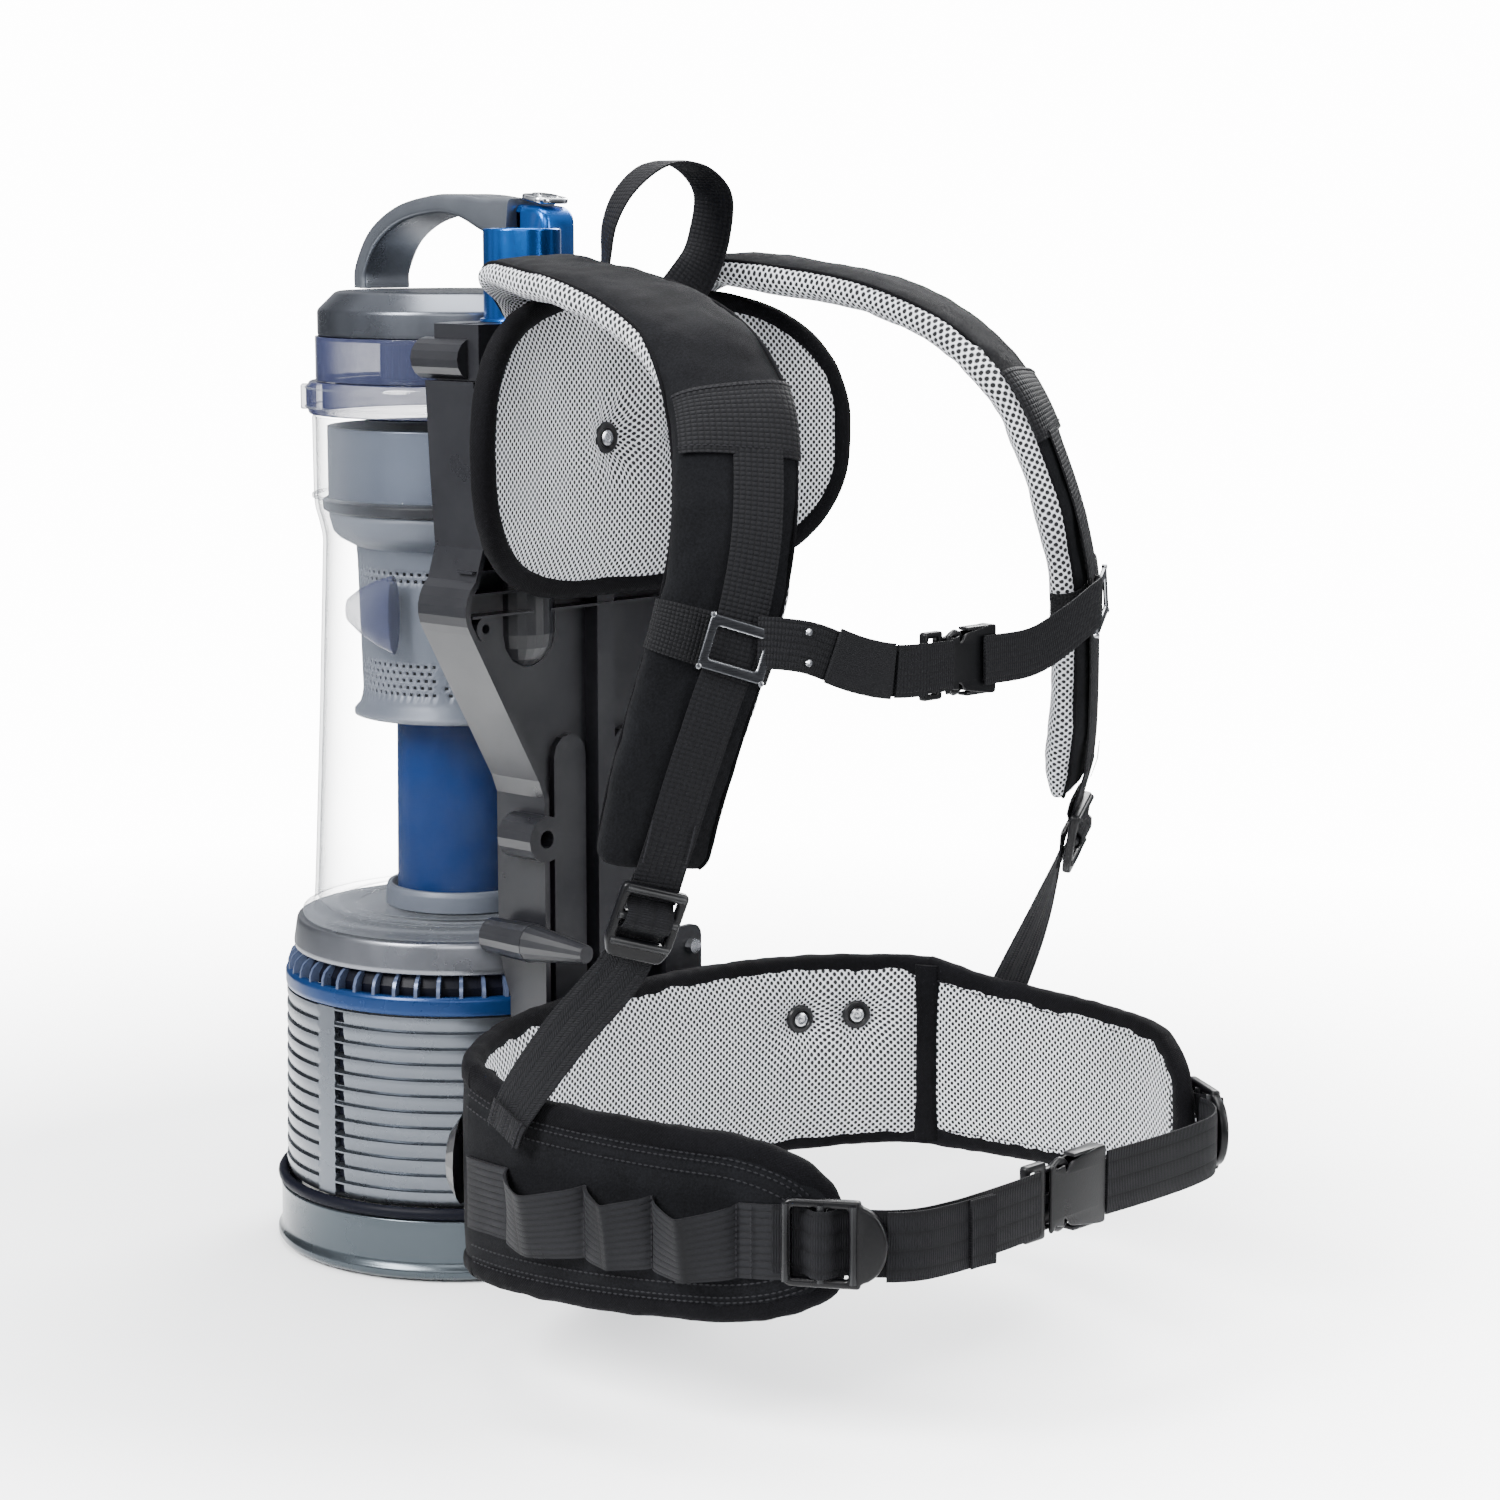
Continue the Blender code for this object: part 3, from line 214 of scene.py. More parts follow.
def webbing(name, colour, across, along, depth=0.0005, diagonal=False, light=2.2):
    """Narrow woven band: raised floats in a grid, across and along the band in metres."""
    s = Shader(name, colour, 0.66, Specular_IOR_Level=0.11, Sheen_Weight=0.010)
    u, v, _ = s.parts(s.coords("UV"))
    if diagonal:
        v = s.math("ADD", v, s.math("MULTIPLY", s.math("PINGPONG", u, across * 2), 0.9))
    rib = s.math("ABSOLUTE", s.math("SINE", s.math("MULTIPLY", u, math.pi / across)))
    pick = s.math("ABSOLUTE", s.math("SINE", s.math("MULTIPLY", v, math.pi / along)))
    floats = s.math("POWER", s.math("MULTIPLY", rib, pick), 0.6)
    fuzz = s.noise(1600, 3)
    height = s.math("ADD", floats, s.math("MULTIPLY", fuzz, 0.35))
    s.wire(s.bump(height, depth, 0.9), "Normal")
    # Painted shade: the colour follows the weave's height, darker in the hollows between the floats and
    # paler on their tops; the fuzz adds random tone.
    tone = s.math("MULTIPLY", s.math("ADD", floats, fuzz), 0.6, clamp=True)
    s.wire(s.mix(tone, s.shade(0.35), s.shade(light)), "Base Color")
    return s.material


def spacer(name, colour, dark, wide=0.0045, tall=0.0039):
    """Open spacer mesh: a pale knit with holes at the corners and middles of a grid, with painted shade
    in the holes.
    """
    s = Shader(name, colour, 0.80, Specular_IOR_Level=0.25, Sheen_Weight=0.15)
    uv = s.vec("MULTIPLY", s.coords("UV"), (1 / wide, 1 / tall, 0.0))
    nearest = None
    for shift in (0.0, 0.5):
        cell = s.vec("FRACTION", s.vec("ADD", uv, (shift, shift, 0.0)))
        offset = s.vec("MULTIPLY", s.vec("SUBTRACT", cell, (0.5, 0.5, 0.0)), (wide, tall, 0.0))
        reach = s.vec("LENGTH", offset)
        nearest = reach if nearest is None else s.math("MINIMUM", nearest, reach)
    wall = s.ramp(nearest, 0.0, 1.0, 0.00092, 0.00132)
    yarn = s.noise(2200, 2)
    knit = s.math("ADD", s.math("MULTIPLY", yarn, 0.25), wall)
    s.wire(s.bump(knit, 0.0008, 0.9), "Normal")
    blotch = s.noise(30, 3)
    pale = s.mix(s.math("ADD", s.math("MULTIPLY", yarn, 0.6), s.math("MULTIPLY", blotch, 0.4)),
                 s.shade(0.78), s.shade(1.12))
    # Painted shade: the holes get a near-black colour that stands in for the shade inside the mesh's
    # openings.
    s.wire(s.mix(wall, dark, pale), "Base Color")
    return s.material


BLACK = (0.0038, 0.0040, 0.0048)
MATS = {
    "tray": plastic("tray_plastic", (0.055, 0.066, 0.075), 0.24, 0.85, gloss=0.4),
    "housing": plastic("housing_plastic", (0.105, 0.115, 0.130), 0.25, 0.92, gloss=0.4),
    "collar": plastic("collar_plastic", (0.165, 0.172, 0.190), 0.28, 0.90, gloss=0.4),
    "frame": plastic("frame_plastic", (0.0085, 0.0088, 0.0108), 0.30, grain=0.15, edge_highlight=0.0,
                     gloss=0.50),
    "lid": plastic("lid_plastic", (0.083, 0.090, 0.104), 0.25, 0.85, gloss=0.4),
    "handle": plastic("handle_plastic", (0.140, 0.152, 0.172), 0.28, 0.80, gloss=0.4),
    "shroud": plastic("shroud_plastic", (0.078, 0.089, 0.112), 0.42, 0.2),
    "cyclone": plastic("cyclone_plastic", (0.095, 0.112, 0.150), 0.30, 0.6),
    "blue": plastic("blue_gloss", (0.008, 0.085, 0.330), 0.20, 0.85, grain=0.05, gloss=0.5),
    "tube": plastic("tube_blue", (0.0002, 0.0125, 0.066), 0.42, 0.0, grain=0.1, gloss=0.08),
    "vent": plastic("vent_blue", (0.003, 0.022, 0.085), 0.26, 0.4),
    "fins": plastic("fin_blue", (0.006, 0.090, 0.290), 0.25, 0.1),
    "navy": plastic("vent_dark", (0.0006, 0.0010, 0.0040), 0.5, edge_highlight=0.0, gloss=0.1),
    "seal": plastic("seal_rubber", (0.0030, 0.0035, 0.0060), 0.5, gloss=0.25),
    "buckle": plastic("buckle_plastic", (0.0020, 0.0020, 0.0025), 0.28, grain=0.4, edge_highlight=0.06,
                      gloss=0.22),
    "silver": metal("silver_cap", (0.80, 0.82, 0.85), 0.16),
    "steel": metal("dark_steel", (0.085, 0.088, 0.095), 0.28),
    "bright": metal("bright_steel", (0.45, 0.46, 0.48), 0.22),
    "clear": clear("clear_plastic", (0.30, 0.32, 0.35), 0.04, (0.050, 0.058, 0.075), body=0.008),
    "tint": clear("tinted_plastic", (0.036, 0.042, 0.085), 0.05, (0.020, 0.022, 0.060), body=0.56),
    "cover": cover("cover_cloth", BLACK),
    "binding": cover("binding_tape", (0.0020, 0.0020, 0.0026), 0.0016),
    "grid": webbing("grid_webbing", (0.0030, 0.0031, 0.0038), 0.0030, 0.0024),
    "rib": webbing("rib_webbing", (0.0032, 0.0033, 0.0040), 0.0031, 0.0016),
    "fine": webbing("fine_webbing", (0.0032, 0.0033, 0.0040), 0.0090, 0.0013, 0.00035),
    "dots": webbing("dotted_webbing", (0.0022, 0.0023, 0.0028), 0.0021, 0.0021, 0.0006),
    "smooth": webbing("smooth_elastic", (0.0038, 0.0039, 0.0046), 0.0009, 0.0009, 0.0002),
    "twill": webbing("twill_webbing", (0.0036, 0.0037, 0.0044), 0.0026, 0.0017, diagonal=True),
    "elastic": webbing("elastic_band", (0.0040, 0.0041, 0.0048), 0.0034, 0.060, light=2.6),
    "mesh": spacer("spacer_mesh", (0.70, 0.71, 0.75), (0.0045, 0.0048, 0.006)),
    "thread": plastic("stitch_thread", (0.008, 0.008, 0.010), 0.7, edge_highlight=0.0, gloss=0.2),
    "filter": plastic("filter_fleece", (0.60, 0.60, 0.56), 0.9, grain=1.0),
}


# ---------------------------------------------------------------- geometry helpers
def smooth_path(points, steps):
    """A Catmull-Rom curve through points, with steps pieces per span."""
    p = np.array(points, float)
    p = np.vstack([2 * p[0] - p[1], p, 2 * p[-1] - p[-2]])
    made = []
    for a, b, c, d in zip(p, p[1:], p[2:], p[3:]):
        for t in np.arange(steps) / steps:
            made.append(0.5 * (2 * b + (c - a) * t + (2 * a - 5 * b + 4 * c - d) * t ** 2
                               + (3 * b - a - 3 * c + d) * t ** 3))
    made.append(p[-2])
    return np.array(made)


def distances(path, closed=False):
    """How far along the path each point is."""
    p = np.vstack([path, path[:1]]) if closed else np.asarray(path)
    return np.concatenate([[0], np.cumsum(np.linalg.norm(np.diff(p, axis=0), axis=1))])


def even(path, spacing):
    """The path with points an even distance apart."""
    d = distances(path)
    count = max(2, int(round(d[-1] / spacing)) + 1)
    at = np.linspace(0, d[-1], count)
    return np.stack([np.interp(at, d, path[:, k]) for k in range(path.shape[1])], axis=1)


def tangents(path, closed=False):
    """Unit direction at each point of the path."""
    if closed:
        t = np.roll(path, -1, axis=0) - np.roll(path, 1, axis=0)
    else:
        t = np.gradient(path, axis=0)
    return t / np.maximum(np.linalg.norm(t, axis=1, keepdims=True), 1e-12)


def unit(v):
    v = np.asarray(v, float)
    return v / np.maximum(np.linalg.norm(v, axis=-1, keepdims=True), 1e-12)


def rounded(points, radius, steps=4, closed=True):
    """A polyline whose corners are rounded; radius is a number or one number per corner."""
    p = np.array(points, float)
    count = len(p)
    made = []
    for i in range(count):
        r = radius[i] if hasattr(radius, "__len__") else radius
        if r <= 0 or (not closed and i in (0, count - 1)):
            made.append(p[i])
            continue
        before, after = p[i - 1] - p[i], p[(i + 1) % count] - p[i]
        a = min(r, np.linalg.norm(before) * 0.48)
        b = min(r, np.linalg.norm(after) * 0.48)
        start, end = p[i] + unit(before) * a, p[i] + unit(after) * b
        for t in np.linspace(0, 1, steps + 1):
            made.append((1 - t) ** 2 * start + 2 * t * (1 - t) * p[i] + t ** 2 * end)
    return np.array(made)


def rectangle(width, height, radius, steps=4):
    """A rounded rectangle about the origin."""
    w, h = width / 2, height / 2
    return rounded([(-w, -h), (w, -h), (w, h), (-w, h)], radius, steps)


def oval(width, height, count=24):
    a = np.arange(count) * TAU / count
    return np.stack([width / 2 * np.cos(a), height / 2 * np.sin(a)], axis=1)


def body_of(node):
    """The body that carries a CAD node."""
    return NODES[node]["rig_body"]


def add(name, mesh, mat, body, replaces=()):
    """Link a finished mesh as a piece that rides on a body."""
    for one in mat if isinstance(mat, (list, tuple)) else [mat]:
        mesh.materials.append(MATS[one])
    made = bpy.data.objects.new(name, mesh)
    bpy.context.scene.collection.objects.link(made)
    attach(made, body)
    if replaces:
        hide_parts(*([replaces] if isinstance(replaces, str) else replaces))
    return made


def tidy_mesh(mesh, crease=40, outward=True):
    bm = bmesh.new()
    bm.from_mesh(mesh)
    bmesh.ops.remove_doubles(bm, verts=bm.verts, dist=1e-6)
    if outward:
        bmesh.ops.recalc_face_normals(bm, faces=bm.faces)
    bm.to_mesh(mesh)
    bm.free()
    mesh.shade_smooth()
    mesh.set_sharp_from_angle(angle=math.radians(crease))
    return mesh


def skin(name, grid, around=False, along=False, caps=False, uv=None, crease=40, keep=None,
         paint=None):
    """A mesh over a grid of points (rows along, columns around), with UVs in metres."""
    rows, cols = grid.shape[:2]
    if uv is None:
        lengths = np.array([distances(r, around) for r in grid]).mean(axis=0)
        run = np.array([distances(grid[:, k], along) for k in range(cols)]).mean(axis=0)
        u = lengths if around else lengths[:cols]
        uv = np.stack(np.meshgrid(u, run, indexing="xy"), axis=2)
    faces, uvs, slots = [], [], []
    for i in range(rows if along else rows - 1):
        for j in range(cols if around else cols - 1):
            if keep is not None and not keep(i, j):
                continue
            a, b = (i + 1) % rows, (j + 1) % cols
            faces.append((i * cols + j, i * cols + b, a * cols + b, a * cols + j))
            uvs += [uv[i, j], uv[i, j + 1], uv[i + 1, j + 1], uv[i + 1, j]]
            slots.append(paint(i, j) if paint else 0)
    if caps:
        for row in (0, rows - 1):
            faces.append(tuple(row * cols + j for j in range(cols)))
            uvs += [(p[0] + p[1], p[2]) for p in grid[row]]
            slots.append(slots[0] if row == 0 else slots[-1])
    mesh = bpy.data.meshes.new(name)
    mesh.from_pydata(grid.reshape(-1, 3).tolist(), [], faces)
    layer = mesh.uv_layers.new(name="metres")
    layer.data.foreach_set("uv", np.array(uvs, np.float32).ravel())
    mesh.polygons.foreach_set("material_index", np.array(slots, np.int32))
    closed = (around and along) or (around and caps)
    return tidy_mesh(mesh, crease, closed)


def lathe(name, profile, segments=144, closed=True, centre=(0.0, 0.0), crease=30):
    """A turned mesh from a profile of (radius, height)."""
    p = np.asarray(profile, float)
    a = np.arange(segments) * TAU / segments
    grid = np.zeros((len(p), segments, 3))
    grid[:, :, 0] = p[:, :1] * np.cos(a) + centre[0]
    grid[:, :, 1] = p[:, :1] * np.sin(a) + centre[1]
    grid[:, :, 2] = p[:, 1:]
    return skin(name, grid, around=True, along=closed, crease=crease)


def sweep(name, path, section, side, closed=False, scale=None, crease=40, paint=None,
          caps=True):
    """A section of (across, out) points carried along a path; side is the across direction."""
    path = np.asarray(path, float)
    t = tangents(path, closed)
    s = np.broadcast_to(np.asarray(side, float), path.shape)
    s = unit(s - t * (s * t).sum(axis=1, keepdims=True))
    n = np.cross(t, s)
    section = np.asarray(section, float)
    if section.ndim == 2:
        section = np.broadcast_to(section, (len(path), *section.shape)).copy()
    if scale is not None:
        section = section * np.asarray(scale)[:, None, :]
    grid = (path[:, None, :] + section[:, :, :1] * s[:, None, :]
            + section[:, :, 1:] * n[:, None, :])
    return skin(name, grid, around=True, along=closed, caps=caps and not closed, crease=crease,
                paint=paint)


def band(name, path, side, width, thick=0.0018, spacing=0.004):
    """Webbing along a path."""
    path = np.asarray(path, float)
    side = np.broadcast_to(np.asarray(side, float), path.shape)
    both = even(np.hstack([path, side]), spacing)
    extra = np.linspace(-width / 2, width / 2, 7)
    flat = [(x, -thick / 2) for x in extra] + [(x, thick / 2) for x in extra[::-1]]
    section = np.array(flat)
    section[[0, 6, 7, 13], 1] *= 0.45
    return sweep(name, both[:, :3], section, both[:, 3:], crease=70)


def cord_loop(name, path, radius, closed=True, flat=1.0, side=(0, 0, 1), count=10):
    """A round or flattened roll along a path, such as a binding or a wire."""
    return sweep(name, path, oval(2 * radius, 2 * radius * flat, count), side, closed, crease=80)


def stitches(name, path, normals, pitch=0.0036, length=0.0024, radius=0.00035):
    """A row of thread stitches along a path, each a small raised spindle."""
    data = even(np.hstack([np.asarray(path, float),
                           np.broadcast_to(np.asarray(normals, float), np.shape(path))]), pitch)
    points, out = data[:, :3], unit(data[:, 3:])
    t = tangents(points)
    verts, faces = [], []
    for p, d, n in zip(points, t, out):
        b = np.cross(d, n)
        base = len(verts)
        for along, share in ((-0.5, 0.45), (0.0, 1.0), (0.5, 0.45)):
            for k in range(4):
                a = TAU * (k + 0.5) / 4
                verts.append(p + d * length * along
                             + (n * math.sin(a) + b * math.cos(a) * 1.3) * radius * share)
        for ring in (0, 4):
            for k in range(4):
                j = (k + 1) % 4
                faces.append((base + ring + k, base + ring + j, base + ring + 4 + j,
                              base + ring + 4 + k))
        faces += [(base, base + 1, base + 2, base + 3), (base + 8, base + 9, base + 10, base + 11)]
    mesh = bpy.data.meshes.new(name)
    mesh.from_pydata([list(v) for v in verts], [], faces)
    return tidy_mesh(mesh, 60)


def plate(name, outer, holes, thick, bevel, matrix, segments=3):
    """A flat plate with holes and rounded edges, made from outlines in its own XY plane."""
    curve = bpy.data.curves.new(name, "CURVE")
    curve.dimensions = "2D"
    curve.fill_mode = "BOTH"
    for outline in [outer, *holes]:
        spline = curve.splines.new("POLY")
        spline.points.add(len(outline) - 1)
        for point, (x, y) in zip(spline.points, outline):
            point.co = (x, y, 0, 1)
        spline.use_cyclic_u = True
    curve.extrude = thick / 2 - bevel
    curve.bevel_depth = bevel
    curve.bevel_resolution = segments
    curve.offset = -bevel
    holder = bpy.data.objects.new(name + "_outline", curve)
    bpy.context.scene.collection.objects.link(holder)
    bpy.context.view_layer.update()
    mesh = bpy.data.meshes.new_from_object(holder.evaluated_get(
        bpy.context.evaluated_depsgraph_get()))
    bpy.data.objects.remove(holder)
    mesh.materials.clear()
    mesh.transform(matrix)
    return tidy_mesh(mesh, 35)


def block(name, low, high, bevel, matrix=None, segments=3):
    """A box with rounded edges."""
    bm = bmesh.new()
    bmesh.ops.create_cube(bm, size=1)
    for vert in bm.verts:
        for axis in range(3):
            vert.co[axis] = low[axis] if vert.co[axis] < 0 else high[axis]
    bmesh.ops.bevel(bm, geom=bm.edges[:], offset=bevel, segments=segments, affect="EDGES",
                    profile=0.6)
    if matrix is not None:
        bmesh.ops.transform(bm, matrix=matrix, verts=bm.verts)
    mesh = bpy.data.meshes.new(name)
    bm.to_mesh(mesh)
    bm.free()
    return tidy_mesh(mesh, 35)


def disc(name, profile, centre, axis, segments=32):
    """A turned button: a profile of (radius, height) about an axis through a centre."""
    mesh = lathe(name, profile, segments, closed=False)
    turn = Vector(axis).to_track_quat("Z", "Y").to_matrix().to_4x4()
    mesh.transform(Matrix.Translation(Vector(centre)) @ turn)
    bm = bmesh.new()
    bm.from_mesh(mesh)
    bmesh.ops.remove_doubles(bm, verts=bm.verts, dist=1e-6)
    edges = [e for e in bm.edges if e.is_boundary]
    if edges:
        bmesh.ops.holes_fill(bm, edges=edges)
    bmesh.ops.recalc_face_normals(bm, faces=bm.faces)
    bm.to_mesh(mesh)
    bm.free()
    return mesh


def joined(name, meshes):
    """Several meshes as one."""
    bm = bmesh.new()
    for mesh in meshes:
        bm.from_mesh(mesh)
    made = bpy.data.meshes.new(name)
    bm.to_mesh(made)
    bm.free()
    for mesh in meshes:
        bpy.data.meshes.remove(mesh)
    made.shade_smooth()
    made.set_sharp_from_angle(angle=math.radians(38))
    return made


def paint(node, mat, bevel=0.0, segments=2):
    """Give a CAD node its finish, and soft edges if asked."""
    target = NODES[node]
    target.data.materials.clear()
    target.data.materials.append(MATS[mat])
    if bevel:
        modifier = target.modifiers.new("soft_edges", "BEVEL")
        modifier.width = bevel
        modifier.segments = segments
        modifier.limit_method = "ANGLE"
        modifier.angle_limit = math.radians(38)
        modifier.harden_normals = True


# ---------------------------------------------------------------- canister
def housing_mesh():
    """Ribbed motor housing: twelve louvre ridges, a smooth strip and a column of slots."""
    low, high = 0.0412, 0.1497
    ridges = 12
    pitch = (high - low) / ridges
    strips = [(math.radians(a), math.radians(a + 8.2)) for a in (174.2, 354.2)]
    slots = [(math.radians(a), math.radians(a + 3.6)) for a in (182.6, 2.6)]
    angles = set(np.round(np.arange(180) * TAU / 180, 5))
    for start, end in strips + slots:
        for edge in (start, end):
            angles |= {round(edge % TAU, 5), round((edge + 0.006) % TAU, 5)}
    angles = np.array(sorted(angles))
    heights = [low]
    for i in range(ridges):
        heights += [low + pitch * (i + f) for f in (0.02, 0.16, 0.165, 0.30, 0.45, 0.62, 0.80,
                                                    0.835, 0.84, 0.94, 0.985)]
    heights = np.array(heights + [high])
    grid = np.zeros((len(heights), len(angles), 3))
    for i, z in enumerate(heights):
        share = (z - low) / pitch % 1.0
        lip = 0.0016 * min(1.0, max(0.0, share) * 1.6) ** 0.7 if share < 0.95 else 0.0
        for j, a in enumerate(angles):
            radius = 0.1033 - 0.0019 * (z - low) / (high - low) + lip
            if any(s < a <= e for s, e in strips):
                radius = 0.1047 - 0.0019 * (z - low) / (high - low)
            if any(s < a <= e for s, e in slots) and 0.16 < share < 0.837:
                radius -= 0.0040
            grid[i, j] = (radius * math.cos(a), radius * math.sin(a), z)
    inner = grid[::-1].copy()
    inner[:, :, :2] *= (0.0985 / np.linalg.norm(inner[:, :, :2], axis=2))[:, :, None]
    inner = inner[[0, -1]]
    return skin("motor_housing_ribbed", np.vstack([grid, inner]), around=True, along=True,
                crease=28)


def slot_shade_backs():
    """Dark pieces that fill the slots' floors: painted shade inside the slots."""
    low, pitch = 0.0412, (0.1497 - 0.0412) / 12
    made = []
    for middle in (184.4, 4.4):
        a = math.radians(middle)
        out = Vector((math.cos(a), math.sin(a), 0))
        turn = Matrix.Rotation(a, 4, "Z")
        for i in range(12):
            z = low + pitch * (i + 0.50)
            place = Matrix.Translation(out * (0.0999 - 0.0019 * i / 12)) @ turn
            made.append(block("slot", (0, -0.0029, z - 0.0029), (0.0014, 0.0029, z + 0.0029),
                              0.0003, place, 1))
    return joined("housing_slot_shade_backs", made)


def make_canister():
    """Base tray, ribbed housing, vent ring and collar."""
    tray = rounded([(0, 0.0), (0.1075, 0.0), (0.1108, 0.0025), (0.1108, 0.0060), (0.1094, 0.0078),
                    (0.1084, 0.0100), (0.1082, 0.0300), (0.1090, 0.0340), (0.1060, 0.0352),
                    (0.1060, 0.0290), (0.0, 0.0290)],
                   [0, 0.002, 0.002, 0.0012, 0.001, 0.001, 0.003, 0.001, 0.0006, 0, 0])
    add("base_tray_shell", lathe("base_tray_shell", tray), "tray", "canister",
        "base_tray")
    rim = [(0.1072 + 0.0030 * math.cos(a), 0.0383 + 0.0034 * math.sin(a))
           for a in np.arange(16) * TAU / 16]
    add("base_rim_roll", lathe("base_rim_roll", rim), "navy", "canister")
    add("motor_housing_ribbed", housing_mesh(), "housing", "canister",
        "motor_housing")
    # Painted shade: near-black blocks on the slot floors.
    add("housing_slot_shade_backs", slot_shade_backs(), "navy", "canister")

    hoop = rounded([(0.0985, 0.1502), (0.1030, 0.1502), (0.1036, 0.1525), (0.1036, 0.1588),
                    (0.1024, 0.1608), (0.0985, 0.1608)], 0.0008)
    add("vent_ring_band", lathe("vent_ring_band", hoop), "vent", "canister",
        "vent_ring")
    # Painted shade: a near-black cone behind the vent fins stands in for the shade inside the vent.
    well = [(0.0968, 0.1600), (0.0968, 0.1650), (0.0925, 0.1722), (0.0900, 0.1722),
            (0.0930, 0.1600)]
    add("vent_shade_well", lathe("vent_shade_well", well, 96), "navy", "canister")
    fins = []
    profile = [(0.0962, 0.1606), (0.1024, 0.1600), (0.1022, 0.1640), (0.1006, 0.1680),
               (0.0978, 0.1706), (0.0944, 0.1722), (0.0918, 0.1722)]
    for i in range(50):
        turn = Matrix.Rotation(TAU * (i + 0.5) / 50, 3, "Z")
        rings = [[turn @ Vector((r, side * 0.0010, z)) for r, z in profile] for side in (-1, 1)]
        fins.append(skin("fin", np.array(rings, float), around=True, caps=True, crease=25))
    add("vent_fins", joined("vent_fins", fins), "vent", "canister")

    collar = rounded([(0.0940, 0.1722), (0.0978, 0.1722), (0.0985, 0.1750), (0.0966, 0.1880),
                      (0.0958, 0.1899), (0.0300, 0.1899), (0.0300, 0.1860), (0.0880, 0.1860)],
                     [0, 0.001, 0.001, 0.001, 0.001, 0, 0, 0])
    add("cup_collar_shell", lathe("cup_collar_shell", collar), "collar", "canister",
        "cup_collar")
    for node, mat in (("motor_casing", "steel"), ("motor_shaft", "bright"),
                      ("impeller", "bright"), ("exhaust_filter", "filter")):
        paint(node, mat)


def shroud_mesh():
    """Perforated cyclone shroud: two rows of holes high up, five staggered rows low down."""
    columns = 150
    rows = [(0.0612, 0.3075), (0.0612, 0.3100), (0.0580, 0.3135), (0.0566, 0.3180)]
    low_rows = list(np.linspace(0.3225, 0.3425, 11))
    high_rows = list(np.linspace(0.3865, 0.3945, 5))
    middle = list(np.linspace(0.3475, 0.3830, 8))
    for z in low_rows + middle + high_rows:
        rows.append((0.0560 + 0.0024 * (z - 0.320) / 0.084, z))
    rows += [(0.0584, 0.3990), (0.0588, 0.4040), (0.0630, 0.4062), (0.0680, 0.4090),
             (0.0715, 0.4125), (0.0736, 0.4200), (0.0741, 0.4250)]
    rows = np.array(rows)
    a = np.arange(columns) * TAU / columns
    grid = np.zeros((len(rows), columns, 3))
    grid[:, :, 0] = rows[:, :1] * np.cos(a)
    grid[:, :, 1] = rows[:, :1] * np.sin(a)
    grid[:, :, 2] = rows[:, 1:]
    heights = rows[:, 1]

    def solid(i, j):
        z = (heights[i] + heights[i + 1]) / 2
        if j % 30 in (0, 29):
            return True
        if 0.3225 < z < 0.3425:
            line = int((z - 0.3225) / 0.0020)
            return not (line % 2 == 0 and (j + (line // 2) % 2) % 2 == 0)
        if 0.3865 < z < 0.3945:
            line = int((z - 0.3865) / 0.0020)
            return not (line % 2 == 0 and (j + (line // 2) % 2) % 2 == 0)
        return True

    return skin("cyclone_shroud_mesh", grid, around=True, keep=solid, crease=50)


def make_cyclone():
    """What shows through the bin and the window: tube, shroud, cyclone body, seal and fins."""
    tube = rounded([(0.0355, 0.1985), (0.0381, 0.1985), (0.0370, 0.3100), (0.0345, 0.3100)],
                   0.0006)
    add("centre_tube_shell", lathe("centre_tube_shell", tube), "tube", "head",
        "centre_tube")
    shroud = add("cyclone_shroud_shell", shroud_mesh(), "shroud", "head",
                 "cyclone_shroud")
    thick = shroud.modifiers.new("wall", "SOLIDIFY")
    thick.thickness = 0.0014
    thick.offset = -1
    # Painted shade: a near-black solid inside the perforated shroud stands in for the shade seen
    # through its holes.
    core = [(0.0, 0.3140), (0.0520, 0.3140), (0.0530, 0.4000), (0.0, 0.4000)]
    add("shroud_shade_core", disc("shroud_shade_core", core, (0, 0, 0), (0, 0, 1), 64), "navy", "head")
    skirt = rounded([(0.0360, 0.3070), (0.0600, 0.3070), (0.0600, 0.3088), (0.0360, 0.3088)],
                    0.0004)
    add("shroud_skirt_floor", lathe("shroud_skirt_floor", skirt), "shroud", "head")
    body = rounded([(0.0700, 0.4318), (0.0741, 0.4318), (0.0741, 0.4720), (0.0700, 0.4720)],
                   0.0006)
    add("cyclone_body", lathe("cyclone_body", body), "cyclone", "head")
    seal = rounded([(0.0715, 0.4245), (0.0752, 0.4238), (0.0771, 0.4250), (0.0774, 0.4300),
                    (0.0750, 0.4318), (0.0715, 0.4318)], 0.0008)
    add("head_seal_ring", lathe("head_seal_ring", seal), "seal", "head",
        "head_seal")
    fins = []
    for i in range(44):
        turn = Matrix.Rotation(TAU * i / 44, 4, "Z")
        fins.append(block("fin", (0.0375, -0.0009, 0.4985), (0.0435, 0.0009, 0.5200), 0.0004,
                          turn, 1))
    drum = lathe("drum", [(0.0340, 0.4985), (0.0385, 0.4985), (0.0385, 0.5215), (0.0340, 0.5215)],
                 96)
    add("cyclone_fin_drum", joined("cyclone_fin_drum", [drum, *fins]), "fins", "head",
        "cyclone_fins")
    deck = rounded([(0.0, 0.4960), (0.0690, 0.4960), (0.0690, 0.4975), (0.0, 0.4975)], [0] * 4)
    add("cyclone_deck", disc("cyclone_deck", deck, (0, 0, 0), (0, 0, 1), 96), "cyclone", "head")


